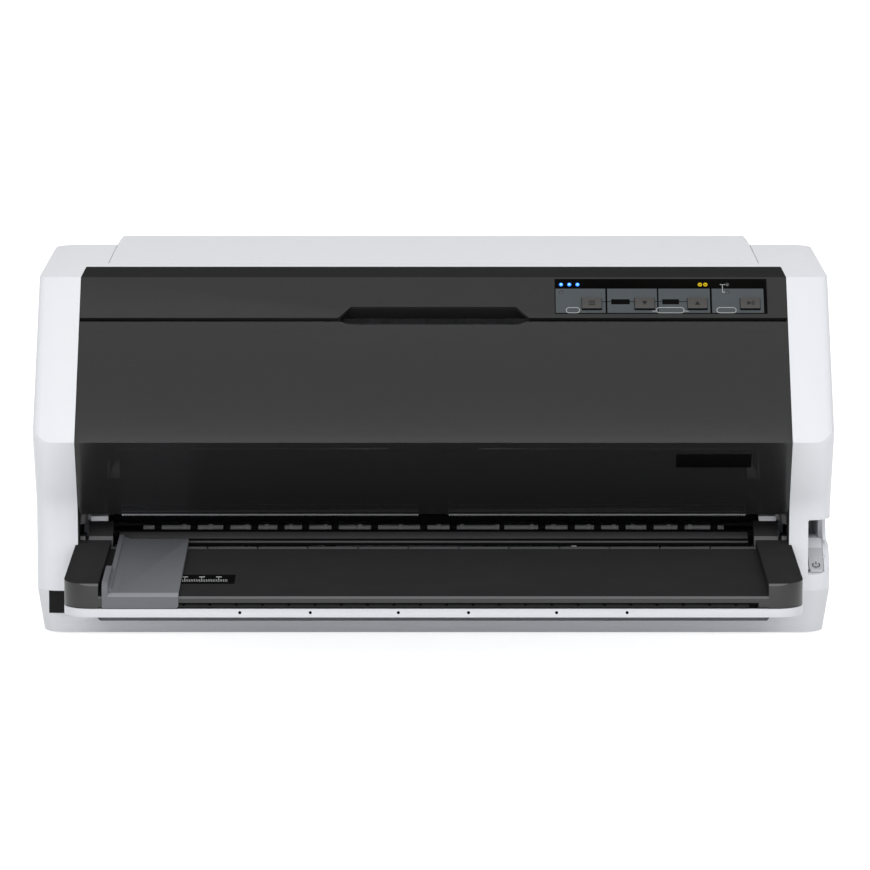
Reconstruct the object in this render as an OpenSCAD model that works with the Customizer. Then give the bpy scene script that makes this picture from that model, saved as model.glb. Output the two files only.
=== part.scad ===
// Flatbed dot matrix printer, built as an assembly of separate pieces.
// Frame: +Z up, front of the printer towards -Y, origin at the centre of the footprint on the table top.
// Millimetres. Flat faces, bores and shafts are true ones; only the base shell is a lofted form.

/* [Overall size] */
// Overall width across the side walls
body_w = 480; // [470:2:600]
// Overall depth, from the front lip of the table to the back wall
body_d = 370; // [366:2:460]
// Height of the flat top of the upper case
top_z = 210.5; // [204:0.5:256]
// How far the table stands out in front of the base
table_reach = 115; // [105:1:140]

/* [Case] */
// Wall of the plastic shells
case_wall = 2.5; // [2:0.1:3.2]
// Height of the parting line between the lower and the upper case
seam_z = 27; // [24:0.5:32]
// Width of the white pillar on each side of the cover
pillar_w = 25.5; // [22:0.5:32]
// Height of the crease across the front
crease_z = 120.8; // [110:0.2:140]
// How far the crease stands in front of the base
crease_out = 20; // [12:0.5:26]
// Height of the lower edge of the front cover
cover_low_z = 71.6; // [70:0.2:78]
// Width of the rear lid
lid_w = 403; // [380:1:406]
// How far the back of the rear lid stands above the flat top
lid_rise = 5.4; // [2:0.2:8]
// Radius of the case's upper back edge
back_r = 40; // [20:1:48]
// Radius of the front corners at the crease, seen from above
corner_r = 12; // [8:1:16]
// Radius of the outer edges of the leaning front
edge_r = 5; // [3:0.5:8]
// Height of the rubber feet under the base
foot_h = 1.5; // [1:0.1:4]

/* [Table] */
// Height of the table plate at its front edge
plate_front_z = 45.4; // [44:0.2:47]
// Height of the table plate at its back edge
plate_back_z = 51; // [49:0.2:52]
// Width of each raised arm of the table
arm_w = 19.5; // [16:0.5:24]
// How far the arms stand above the front edge of the plate
arm_rise = 7.5; // [6:0.1:9]
// Height of the white tray's lip
lip_h = 4.9; // [4:0.1:6]
// Width of the sliding edge guide
guide_w = 44.5; // [36:0.5:60]
// Thickness of the edge guide's plate
guide_t = 4; // [3:0.1:4.6]

/* [Paper drive] */
// Radius of the rubber feed rollers
roller_r = 5; // [4.6:0.1:5.6]
// Radius of the steel roller shafts
shaft_r = 4; // [3:0.1:4.2]
// Height at which the paper runs
paper_z = 60.3; // [59.5:0.1:61]
// Size of a gear tooth (pitch diameter for each tooth)
gear_module = 1.5; // [1.5:0.1:1.6]
// Face width of the gears
gear_w = 6; // [4:0.5:7]

/* [Print carriage] */
// Radius of the round carriage rail
rail_r = 6; // [5:0.1:7]
// Radius of the print head's body
head_r = 19; // [16:0.5:20]
// Width of the carriage along the rail
carriage_w = 56; // [50:1:70]

/* [Keys] */
// Width of one key
key_w = 11.9; // [9:0.1:14]
// Spacing of the keys
key_pitch = 32; // [26:0.5:34]
// How far a key travels
key_travel = 1; // [0.6:0.1:1.4]

/* [Hidden] */
$fn = 64;

// clearances
fit = 0.3;          // still pieces that lie against each other across a joint line
run = 0.1;          // radial clearance of a shaft in its bush
gap = 0.5;          // shell joint lines
tiny = 0.01;

// main planes
half_w = body_w / 2;
front_y = -body_d / 2;
back_y = body_d / 2;
base_y = front_y + table_reach;                  // front face of the base
open_x = half_w - pillar_w;                      // inner faces of the pillars
crease_y = base_y - crease_out;
cover_low_y = base_y + 6.5;
top_front_y = base_y + 55;
strip_back_y = top_front_y + 50;                 // back edge of the dark strip on the top
base_bottom_z = foot_h;
floor_z = base_bottom_z + case_wall;             // upper face of the base's floor
frame_t = 2;
frame_x = half_w - 40;                           // outer face of each side frame
frame_in = frame_x - frame_t;
frame_front_y = base_y + 29;
gear_x = frame_x + 1.5;                          // inner face of the gear train

// the leaning upper front face
face_lean = atan2(top_front_y - crease_y, top_z - crease_z);
panel_len = 29.1;                                  // dark panel, down the face from the top edge
cover_top = 31.8;                                // where the cover starts, down the face
function face_pt(dist) = [top_front_y - dist * sin(face_lean), top_z - dist * cos(face_lean)];

// paper drive
roller_z = paper_z - roller_r;
roller_y = base_y + 41;
gear_small = 12;                                 // teeth of the roller and tractor gears
gear_front_idler = 32;
gear_rear_idler = 36;
gear_pinion = 10;
function pitch_r(teeth) = teeth * gear_module / 2;
front_idler_y = roller_y + pitch_r(gear_small) + pitch_r(gear_front_idler);
rear_roller_y = front_idler_y + pitch_r(gear_front_idler) + pitch_r(gear_small);
rear_idler_y = rear_roller_y + pitch_r(gear_small) + pitch_r(gear_rear_idler);
tractor_y = rear_idler_y + pitch_r(gear_rear_idler) + pitch_r(gear_small);
pinion_y = front_idler_y;
pinion_z = roller_z - pitch_r(gear_front_idler) - pitch_r(gear_pinion);
pin_r = 3;
bush_r = shaft_r + 1.8;
motor_shaft_r = 2.5;
support_y = tractor_y + 34;
support_z = roller_z - 8;

// print line
head_y = front_idler_y;
rail_y = head_y + 44;
rail_z = paper_z + 32;
bar_y = rail_y + 21;
bar_t = 3;
belt_y = bar_y + 21;                             // axis line of the pulleys
belt_z = rail_z + 3;
belt_t = 1.2;
belt_h = 6;
pulley_r = 6;
pulley_x = frame_in - 24;

// ---------- helpers ----------
module range_box(x, y, z) {
    translate([x[0], y[0], z[0]]) cube([x[1] - x[0], y[1] - y[0], z[1] - z[0]]);
}
module both_sides() { children(); mirror([1, 0, 0]) children(); }
// extrudes a (Y, Z) outline along X
module along_x(x0, x1) { translate([x0, 0, 0]) rotate([90, 0, 90]) linear_extrude(x1 - x0) children(); }
module rod_x(y, z, r, x0, x1) { translate([x0, y, z]) rotate([0, 90, 0]) cylinder(h = x1 - x0, r = r); }
module rod_z(x, y, r, z0, z1) { translate([x, y, z0]) cylinder(h = z1 - z0, r = r); }
module rod_y(x, z, r, y0, y1) { translate([x, y0, z]) rotate([-90, 0, 0]) cylinder(h = y1 - y0, r = r); }
// local Z points out of the leaning face, local Y up it
module on_face(x, dist, out = 0) {
    p = face_pt(dist);
    translate([x, p[0] - out * cos(face_lean), p[1] + out * sin(face_lean)]) rotate([90 - face_lean, 0, 0])
        children();
}
function arc(c, r, a0, a1, n = 8) = [for (i = [0:n]) c + r * [cos(a0 + (a1 - a0) * i / n),
    sin(a0 + (a1 - a0) * i / n)]];
function unit(v) = v / norm(v);
function left_of(v) = [-v[1], v[0]];
// the point of a polyline moved sideways by t, to the left of its direction
function side_pt(p, i, t) =
    let (last = len(p) - 1,
         a = i > 0 ? unit(p[i] - p[i - 1]) : unit(p[1] - p[0]),
         b = i < last ? unit(p[i + 1] - p[i]) : unit(p[last] - p[last - 1]),
         n = unit(left_of(a) + left_of(b)))
    p[i] + n * t / (n * left_of(a));
function side_path(p, t) = [for (i = [0:len(p) - 1]) side_pt(p, i, t)];
function reversed(p) = [for (i = [len(p) - 1:-1:0]) p[i]];
// points of a cubic curve after its first one
function bezier(p, n) = [for (i = [1:n]) let (t = i / n, s = 1 - t)
    s * s * s * p[0] + 3 * s * s * t * p[1] + 3 * s * t * t * p[2] + t * t * t * p[3]];
module band(p, t) { polygon(concat(p, reversed(side_path(p, t)))); }
// closed outline moved inwards by t; the outline runs counter-clockwise
function closed_pt(p, i, t) =
    let (n = len(p), a = unit(p[i] - p[(i + n - 1) % n]), b = unit(p[(i + 1) % n] - p[i]),
        m = unit(left_of(a) + left_of(b)))
    p[i] + m * t / (m * left_of(a));
function inset(p, t) = [for (i = [0:len(p) - 1]) closed_pt(p, i, t)];
module rounded_rect(x, y, r) {
    polygon(concat(arc([x[1] - r, y[0] + r], r, -90, 0), arc([x[1] - r, y[1] - r], r, 0, 90),
        arc([x[0] + r, y[1] - r], r, 90, 180), arc([x[0] + r, y[0] + r], r, 180, 270)));
}

// ---------- base ----------
foot_r = 8;
screw_head_r = 3.5;
base_draft = 4;                                  // how much narrower each side of the base is at the bottom
base_r = 14;                                     // corners of the base, seen from above
slot_x = open_x - 11;                            // half width of the long slot in the front of the base
slot_z = [8.6, 11.4];
slot_depth = 2;
pocket_x = [-half_w + 7.8, -open_x + 1];         // dark pocket beside the table
pocket_z = [seam_z - 14, seam_z];
sunk_z = [pocket_z[0] - 5.4, pocket_z[0] - 0.9];
sunk_depth = 0.8;
inlet_x = -half_w + 70;
inlet_w = 28;
inlet_h = 20;
port_x = [half_w - 150, half_w - 54];
port_z = [floor_z + 5, floor_z + 20];
wall_top_z = plate_back_z - 5.2;                 // the base's front wall between the pillars
module base_loft(in, low, z0, z1) {
    hull() {
        translate([0, 0, z0]) linear_extrude(0.1)
            rounded_rect([-half_w + base_draft * low + in, half_w - base_draft * low - in], [base_y + in,
                back_y - in], base_r - in);
        translate([0, 0, z1 - 0.1]) linear_extrude(0.1)
            rounded_rect([-half_w + in, half_w - in], [base_y + in, back_y - in], base_r - in);
    }
}
screw_spots = [for (x = [-1, 1], y = [base_y + 22, back_y - 22]) [x * (half_w - 21), y]];
module lower_case() color("#d9dade") {
    difference() {
        base_loft(0, 1, base_bottom_z, seam_z);
        base_loft(case_wall, 1, floor_z, seam_z + 1);
        // long slot in the front face, with slanting ends, under the table's lip
        translate([0, base_y + slot_depth, 0]) rotate([90, 0, 0]) linear_extrude(5)
            polygon([[-slot_x + 2, slot_z[0]], [slot_x - 2, slot_z[0]], [slot_x, slot_z[1]],
                [-slot_x, slot_z[1]]]);
        range_box(pocket_x, [base_y - 5, base_y + 5], [pocket_z[0], seam_z + 1]);
        // shallow sunk panel under the pocket
        translate([0, base_y + sunk_depth, 0]) rotate([90, 0, 0]) linear_extrude(5)
            polygon([[pocket_x[0], sunk_z[0]], [pocket_x[1] + 4, sunk_z[0]], [pocket_x[1] + 6.2, sunk_z[1]],
                [pocket_x[0], sunk_z[1]]]);
        range_box([inlet_x - inlet_w / 2, inlet_x + inlet_w / 2], [back_y - 9, back_y + 5], [floor_z + 1.5,
            floor_z + 1.5 + inlet_h]);
        range_box(port_x, [back_y - 9, back_y + 5], port_z);
        for (s = screw_spots) {
            rod_z(s[0], s[1], 2.1, 0, floor_z + 2);
            rod_z(s[0], s[1], screw_head_r + 0.2, 0, base_bottom_z + 1.7);
        }
    }
    // upright wall that carries the table
    range_box([-open_x + 1.5, open_x - 1.5], [base_y, base_y + case_wall], [seam_z - 1, wall_top_z]);
    both_sides() range_box([open_x - 4, open_x - 1.5], [base_y + case_wall - tiny, base_y + 12],
        [seam_z - 1, wall_top_z]);
    both_sides() range_box([open_x - 4, open_x - 1.5], [base_y + case_wall - tiny, base_y + 12],
        [floor_z - tiny, seam_z - 1 + tiny]);
    range_box([-open_x + 1.5, open_x - 1.5], [base_y + case_wall - tiny, base_y + 2 * case_wall],
        [floor_z - tiny, seam_z + 4]);
    // screw bosses
    for (s = screw_spots) difference() {
        rod_z(s[0], s[1], 5, floor_z - tiny, seam_z - 6);
        rod_z(s[0], s[1], 2.1, 0, seam_z);
    }
}

// ---------- upper case ----------
// the pillars' front: straight from the crease to the bend, back to the waist, and out again to the foot
function lower_front_pt(z) = [crease_y, crease_z]
    + [cover_low_y - crease_y, cover_low_z - crease_z] * (crease_z - z) / (crease_z - cover_low_z);
bend_z = cover_low_z + 13;
waist = [base_y + 3.6, cover_low_z - 12.6];
pillar_foot = [base_y, seam_z + 3];
pillar_front = concat([[crease_y, crease_z], lower_front_pt(bend_z)],
    bezier([lower_front_pt(bend_z), lower_front_pt(bend_z - 8), waist + [0, 10], waist], 6),
    bezier([waist, waist - [0, 10], pillar_foot + [0, 10], pillar_foot], 6));
case_outline = concat([[base_y, seam_z], [back_y, seam_z]],
    arc([back_y - back_r, top_z - back_r], back_r, 0, 90, 12), [[top_front_y, top_z]], pillar_front);
pillar_back_y = base_y + 60;
recess_x = half_w - 14;                          // inner wall of the power switch recess
recess_top_z = cover_low_z - 2;
recess_back_y = base_y + 84;
switch_slope = 28;                               // slope of the rocker and of the recess's floor
switch_y = [base_y + 3, base_y + 29];            // where that slope starts and ends
switch_z = [36.5, 36.5 + (switch_y[1] - switch_y[0]) * tan(switch_slope)];
pivot_y = cover_low_y + 3.5;                     // front cover's hinge line
pivot_z = cover_low_z + 3.4;
cover_pin_r = 3;
leg_t = 5.6;                                     // thickness of the cover's legs beside the pillars
stop_x = [open_x - 17.5, open_x - leg_t - 1.6];
stop_y = pivot_y + 6.5;
stop_z = [cover_low_z - 4.8, cover_low_z - 1.9];
lid_front_y = strip_back_y + 18;
lid_nose_r = 3;                                  // rounded front edge of the lid, about its hinge
lid_pivot_y = lid_front_y + lid_nose_r;
lid_pivot_z = top_z - lid_nose_r;
lid_pin_r = 1.8;
lid_low_z = paper_z + 12;
lid_x = lid_w / 2;
rear_sill_z = paper_z - 8;
module base_plan(in) {
    linear_extrude(top_z) rounded_rect([-half_w + in, half_w - in], [base_y + in, back_y - in],
        base_r - in);
}
module back_form(in) {
    // rounds the back corners, all the way over the upper back edge
    x = half_w - in;
    r = base_r - in;
    hull() for (a = [0:15:90]) {
        y = back_y - back_r + (back_r - in) * cos(a);
        z = top_z - back_r + (back_r - in) * sin(a);
        z0 = a == 0 ? 0 : z - 0.1;
        translate([0, 0, z0]) linear_extrude(z - z0)
            polygon(concat([[-x, front_y], [x, front_y]], arc([x - r, y - r], r, 0, 90), arc([r - x, y - r],
                r, 90, 180)));
    }
}
module face_form(in) {
    // rounds the outer edges of the leaning front
    x = half_w - in;
    r = edge_r - in;
    far = body_d + top_z;
    on_face(0, 0) rotate([-90, 0, 0]) translate([0, 0, -far]) linear_extrude(2 * far)
        polygon(concat(arc([r - x, in + r], r, 180, 270), arc([x - r, in + r], r, 270, 360),
            [[x, far], [-x, far]]));
}
module corner_cut(in) {
    // what the rounding of the right front corner takes off, ring by ring down the pillar's front
    outline = inset(case_outline, in);
    front = [for (i = [len(outline) - len(pillar_front):len(outline) - 1]) outline[i]];
    levels = concat([[front[0][0], top_z + 5]], front, [[base_y + in, seam_z - 5]]);
    x = half_w - in;
    ring = function (p) let (down = max(0, crease_z - p[1]) / (crease_z - seam_z),
            r = corner_r + (base_r - corner_r) * down - in)
        concat([[half_w + 2, p[0] - 2], [half_w + 2, p[0] + r]], arc([x - r, p[0] + r], r, 0, -90, 8),
            [[x - r, p[0] - 2]]);
    n = len(ring(levels[0]));
    last = len(levels) - 1;
    polyhedron([for (p = levels) each [for (q = ring(p)) [q[0], q[1], p[1]]]],
        concat([[for (j = [n - 1:-1:0]) j], [for (j = [0:n - 1]) last * n + j]],
            [for (k = [0:last - 1], j = [0:n - 1]) let (a = k * n + j, b = k * n + (j + 1) % n) each [[a, b,
                b + n], [a, b + n, a + n]]]));
}
module case_form(in) {
    difference() {
        intersection() {
            along_x(-half_w + in, half_w - in) polygon(inset(case_outline, in));
            back_form(in);
            face_form(in);
        }
        both_sides() corner_cut(in);
    }
}
module recess_plan(in) {
    // side outline of the power switch recess, open at the front
    polygon([[front_y, switch_z[0] - in], [switch_y[0] - in / 2, switch_z[0] - in], [switch_y[1] - in / 2,
        switch_z[1] - in],
        [recess_back_y + in, switch_z[1] - in], [recess_back_y + in, recess_top_z + in],
            [front_y, recess_top_z + in]]);
}
// inner face of the recess's outer wall: behind and beside the rocker
recess_wall_x = [recess_x + 8, recess_x + 10.2];  // inner face of the recess's outer wall: at the back, at the front
recess_wall_t = 2;
module recess_wall() {
    // outer wall of the recess, over the switch's bed and behind it
    y = switch_y[1];
    z = switch_z[1];
    bed_top = z + 3.8;
    bed_end = y + 14.4;
    plan = [[recess_wall_x[1], y - 7], [recess_wall_x[1], y - 0.5], [recess_wall_x[0], y + 3],
        [recess_wall_x[0], recess_back_y + tiny]];
    intersection() {
        linear_extrude(top_z) band(reversed(plan), recess_wall_t);
        along_x(recess_x, half_w) polygon([[y - 6.4, bed_top], [bed_end, bed_top], [bed_end, z - 1],
            [recess_back_y + 1, z - 1], [recess_back_y + 1, recess_top_z + 1], [y + 2, recess_top_z + 1],
            [y - 2, z + 9]]);
        case_form(0);
        along_x(recess_x, half_w) recess_plan(1);
    }
}
module upper_case() color("#eceef1") {
    difference() {
        union() {
            difference() {
                case_form(0);
                // hollow of the body and of the pillars
                intersection() {
                    case_form(case_wall);
                    union() {
                        range_box([-half_w, half_w], [pillar_back_y, back_y], [0, top_z]);
                        both_sides() range_box([open_x + case_wall, half_w], [front_y, back_y], [0, top_z]);
                    }
                }
                // open towards the lower case
                intersection() {
                    base_plan(case_wall);
                    range_box([-half_w, half_w], [front_y, back_y], [0, seam_z + case_wall + 1]);
                    union() {
                        range_box([-half_w, half_w], [pillar_back_y, back_y], [0, top_z]);
                        both_sides() range_box([open_x + case_wall, half_w], [front_y, back_y], [0, top_z]);
                    }
                }
                // opening between the pillars, from the dark strip down to the parting line
                range_box([-open_x, open_x], [front_y, strip_back_y], [0, top_z + 1]);
                // opening for the rear lid and the rear paper slot
                range_box([-lid_x - gap, lid_x + gap], [lid_front_y - gap, back_y + 1], [rear_sill_z,
                    top_z + 1]);
                // ventilation slots low in both sides
                both_sides() for (i = [0:9]) range_box([half_w - case_wall - 1, half_w + 1],
                    [back_y - 95 + i * 7, back_y - 92 + i * 7], [42, 62]);
            }
            // walls round the power switch recess
            intersection() {
                case_form(0);
                along_x(recess_x - case_wall, half_w) recess_plan(case_wall);
            }
            // eyes for the rear lid's pins, under the top wall
            both_sides() range_box([lid_x + gap, lid_x + gap + 4], [lid_pivot_y - 5, lid_pivot_y + 5],
                [lid_pivot_z - 5, top_z - case_wall + tiny]);
            // small stops under the cover's lower corners, held by a web behind the cover's legs
            both_sides() range_box([stop_x[0], stop_x[1]], [stop_y, stop_y + 6], stop_z);
            both_sides() range_box([stop_x[0], open_x + tiny], [stop_y + 6 - tiny, stop_y + 8], stop_z);
        }
        along_x(recess_x, half_w + 1) recess_plan(0);
        both_sides() rod_x(pivot_y, pivot_z, cover_pin_r + run, open_x - 1, open_x + case_wall + 1);
        both_sides() rod_x(lid_pivot_y, lid_pivot_z, lid_pin_r + run, lid_x - 1, lid_x + gap + 5);
    }
    recess_wall();
}

// ---------- dark panel with the keys ----------
notch_top = 50;                                  // half width of the finger notch at its top
notch_low = 59;                                  // and at the cover's edge
overlay_x = [open_x - 141, open_x - 12];
overlay_d = [1.2, 26.2];                         // down the face
key_d = 19.4;
key_h = 7.8;
first_key_x = open_x - 118.5;
function key_x(i) = first_key_x + i * key_pitch;
panel_t = 2.5;
module face_cut(x, d, depth) {
    on_face(0, 0) translate([x[0], -d[1], -depth]) cube([x[1] - x[0], d[1] - d[0], depth + 3]);
}
module front_panel() color("#2e2e30") {
    p = [[strip_back_y - fit, top_z], [top_front_y, top_z], face_pt(panel_len)];
    difference() {
        union() {
            along_x(-open_x + fit, open_x - fit) band(p, panel_t);
            both_sides() along_x(open_x - fit - 2.2, open_x - fit) band(p, 14);
            // lip that turns in under the face, behind the cover's top edge
            on_face(0, 0) translate([-open_x + fit, -panel_len, -14]) cube([2 * (open_x - fit), 1.8, 14]);
        }
        on_face(0, 0) translate([0, 0, -20]) linear_extrude(30)
            polygon([[-notch_top, -21.3], [notch_top, -21.3], [notch_low, -panel_len - 1],
                [-notch_low, -panel_len - 1]]);
        face_cut(overlay_x, overlay_d, 0.8);
        for (i = [0:3]) face_cut([key_x(i) - key_w / 2 - fit, key_x(i) + key_w / 2 + fit],
            [key_d - key_h / 2 - fit, key_d + key_h / 2 + fit], 6);
        for (s = light_spots) on_face(s[0], s[1]) translate([0, 0, -5]) cylinder(h = 6, r = light_r + run,
            $fn = 24);
    }
    // the notch's own back wall
    on_face(0, 0) translate([-notch_low, -20.8, -14]) cube([2 * notch_low, 1.8, 14 - panel_t + tiny]);
    // posts for the key board
    for (x = [overlay_x[0] + 3, (key_x(2) + key_x(3)) / 2]) on_face(x, 14) translate([0, 0, -9])
        cylinder(h = 9 - panel_t + tiny, r = 2);
}
module key_overlay() color("#54595e") {
    difference() {
        on_face(0, 0) translate([overlay_x[0] + fit, -overlay_d[1] + fit, -0.8])
            cube([overlay_x[1] - overlay_x[0] - 2 * fit, overlay_d[1] - overlay_d[0] - 2 * fit, 0.9]);
        for (i = [0:3]) face_cut([key_x(i) - key_w / 2 - fit, key_x(i) + key_w / 2 + fit],
            [key_d - key_h / 2 - fit, key_d + key_h / 2 + fit], 6);
        for (s = light_spots) on_face(s[0], s[1]) translate([0, 0, -1]) cylinder(h = 3, r = light_r + run,
            $fn = 24);
    }
}
light_r = 1.1;
light_spots = concat([for (i = [0:2]) [overlay_x[0] + 4 + i * 5, 5.4]],
    [[overlay_x[0] + 4, 10.8], [overlay_x[0] + 105, 5.4], [overlay_x[0] + 105, 10.8]]);
board_out = -9;                                  // outer face of the key board behind the face
module key_board() color("#2f6b3c") {
    on_face(0, 0) translate([overlay_x[0], -overlay_d[1], board_out - 1.6])
        cube([overlay_x[1] - overlay_x[0], overlay_d[1] - overlay_d[0], 1.6]);
    // switch bodies under the keys
    for (i = [0:3]) on_face(key_x(i), key_d) translate([-3, -3, board_out - tiny]) cube([6, 6, 2.5]);
}
module indicator_lights() color("#2f8fff") {
    for (s = light_spots) on_face(s[0], s[1]) translate([0, 0, board_out]) cylinder(h = -board_out + 0.2,
        r = light_r, $fn = 24);
}
module key(i) color("#3a3a3c") {
    on_face(key_x(i), key_d) {
        translate([-key_w / 2, -key_h / 2, -panel_t]) cube([key_w, key_h, panel_t + 1.6]);
        translate([-key_w / 2 - 1, -key_h / 2 - 1, -panel_t - 1.5]) cube([key_w + 2, key_h + 2,
            1.2 + tiny]);
        translate([-2, -2, board_out + 2.5 + key_travel + 0.1])
            cube([4, 4, -board_out - 2.5 - key_travel - panel_t]);
    }
}

// ---------- front cover ----------
cover_t = 2;
scoop_t = 0.6;
scoop_len = 9;
cover_x = open_x - fit;
cover_path = [face_pt(cover_top), [crease_y, crease_z], [cover_low_y, cover_low_z]];
module front_cover() color([0.16, 0.16, 0.17, 0.85]) {
    difference() {
        union() {
            along_x(-cover_x, cover_x) band(cover_path, cover_t);
            // side returns and the rib under the top edge
            both_sides() along_x(cover_x - 2, cover_x) band(cover_path, 10);
            on_face(0, 0) translate([-cover_x + 4, -cover_top - 5.4, -6]) cube([2 * (cover_x - 4), 1.4,
                4 + tiny]);
            // latch tabs behind the top corners
            both_sides() on_face(0, 0) translate([cover_x - 16, -cover_top - 16, -8])
                cube([11, 10, 6 + tiny]);
            both_sides() rod_x(pivot_y, pivot_z, 4.6, cover_x - 5, cover_x);
            // legs below the hinge, hanging in front of the stops
            both_sides() range_box([cover_x - leg_t, cover_x], [pivot_y - 3, pivot_y + 3],
                [cover_low_z - 5.8, pivot_z]);
        }
        // lowered edge in the finger notch, and a shallow scoop below it
        on_face(0, 0) translate([0, 0, -cover_t - 5]) linear_extrude(20)
            polygon([[-notch_low + 2, -cover_top + 1], [notch_low - 2, -cover_top + 1], [notch_top + 2,
                -cover_top - 1.6], [-notch_top - 2, -cover_top - 1.6]]);
        on_face(0, 0) translate([0, 0, -scoop_t]) linear_extrude(5)
            polygon([[-notch_low + 2, -cover_top + 1], [notch_low - 2, -cover_top + 1], [notch_top - 4,
                -cover_top - scoop_len], [-notch_top + 4, -cover_top - scoop_len]]);
    }
    both_sides() rod_x(pivot_y, pivot_z, cover_pin_r, cover_x - tiny, open_x + case_wall - 0.3);
}
tear_x = [9, open_x - 26];
tooth = 1.6;                                     // from one tooth to the next
module tear_bar() color("#8f9296") {
    // steel strip on the inside of the cover's lower edge, with teeth along the edge
    lean = atan2(cover_low_y - crease_y, crease_z - cover_low_z);
    both_sides() translate([0, cover_low_y, cover_low_z]) rotate([90 + lean, 0, 0])
        translate([0, 0, -cover_t - 0.6]) linear_extrude(0.6)
            polygon(concat([[tear_x[1], 8], [tear_x[0], 8]],
                [for (i = [0:floor((tear_x[1] - tear_x[0]) / tooth) - 1]) each [[tear_x[0] + i * tooth,
                    -0.2], [tear_x[0] + (i + 0.5) * tooth, -1.6]]],
                [[tear_x[1], -0.2]]));
}
label_d = 8.6;                                   // down the lower face from the crease
label_h = 9.9;
label_x = open_x - 69.2;
module cover_label() color("#101011") {
    lean = atan2(cover_low_y - crease_y, crease_z - cover_low_z);
    translate([label_x, crease_y, crease_z]) rotate([90 + lean, 0, 0]) translate([0, -label_d - label_h, 0])
        cube([45, label_h, 0.3]);
}

// ---------- rear lid ----------
lid_bevel = 4;                                   // its raised ends slope inwards
lid_top_z = top_z + lid_rise;
lid_outer = concat(reversed(arc([lid_pivot_y, lid_pivot_z], lid_nose_r, 90, 200, 8)),
    reversed(arc([back_y - back_r, lid_top_z - back_r], back_r, 0, 90, 12)), [[back_y, lid_low_z]]);
lid_side_z = top_z - 30;
module rear_cover() color("#e6e8ec") {
    intersection() {
        union() {
            along_x(-lid_x, lid_x) band(reversed(lid_outer), case_wall);
            both_sides() along_x(lid_x - case_wall, lid_x)
                polygon(concat(lid_outer, [[back_y - 16, lid_low_z], [back_y - 16, lid_side_z],
                [lid_front_y + 40, lid_side_z]]));
            // ribs inside
            for (x = [-lid_x / 3, lid_x / 3]) range_box([x - 1, x + 1], [back_y - 10,
                back_y - case_wall + tiny], [lid_low_z, lid_top_z - back_r]);
        }
        rotate([90, 0, 0]) translate([0, 0, -back_y - 1]) linear_extrude(back_y + 1)
            polygon([[-lid_x, 0], [lid_x, 0], [lid_x, top_z + 0.2], [lid_x - lid_bevel, lid_top_z + 0.2],
                [-lid_x + lid_bevel, lid_top_z + 0.2], [-lid_x, top_z + 0.2]]);
    }
    both_sides() rod_x(lid_pivot_y, lid_pivot_z, lid_pin_r, lid_x - tiny, lid_x + gap + 3.5);
}

// ---------- table ----------
table_y = front_y + 1;                           // front face of the dark table
arm_in = open_x - arm_w;                         // foot of each arm's inner wall
arm_back_y = base_y + 14;
tray_z = [plate_front_z - 12, plate_front_z - 12 + lip_h];
plate_t = 2.5;
plate_back_y = base_y + 12;
arm_front_z = plate_front_z + arm_rise;
arm_back_z = plate_back_z + 4.5;
function plate_z(y) = plate_front_z + (plate_back_z - plate_front_z) * (y - table_y)
    / (plate_back_y - table_y);
table_r = 16;
arm_wall = 2.4;
table_over = 1.2;                                // how far the table overlaps the pillars in front of them
shoulder_z = [arm_back_z + 2.4, arm_back_z + 10];
groove_z = [plate_front_z - 5.5, plate_front_z - 3.6];    // groove under the plate's front edge
groove_x = arm_in - 11.4;
notch_pitch = 15.3;
ridge_h = 0.9;                                   // ridge along the plate's back edge
ridge_gap = 0.9;
ridge_pitch = 30.4;
module table_plan(in, y0, y1) {
    xo = open_x + table_over - in;
    xi = open_x - fit - in;
    step_y = base_y - gap - in;
    r = table_r - in;
    back = y1 > step_y ? [[xo, step_y], [xi, step_y], [xi, y1], [-xi, y1], [-xi, step_y],
        [-xo, step_y]] : [[xo, y1], [-xo, y1]];
    polygon(concat(arc([r - xo, y0 + r], r, 180, 270), arc([xo - r, y0 + r], r, 270, 360), back));
}
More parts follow.
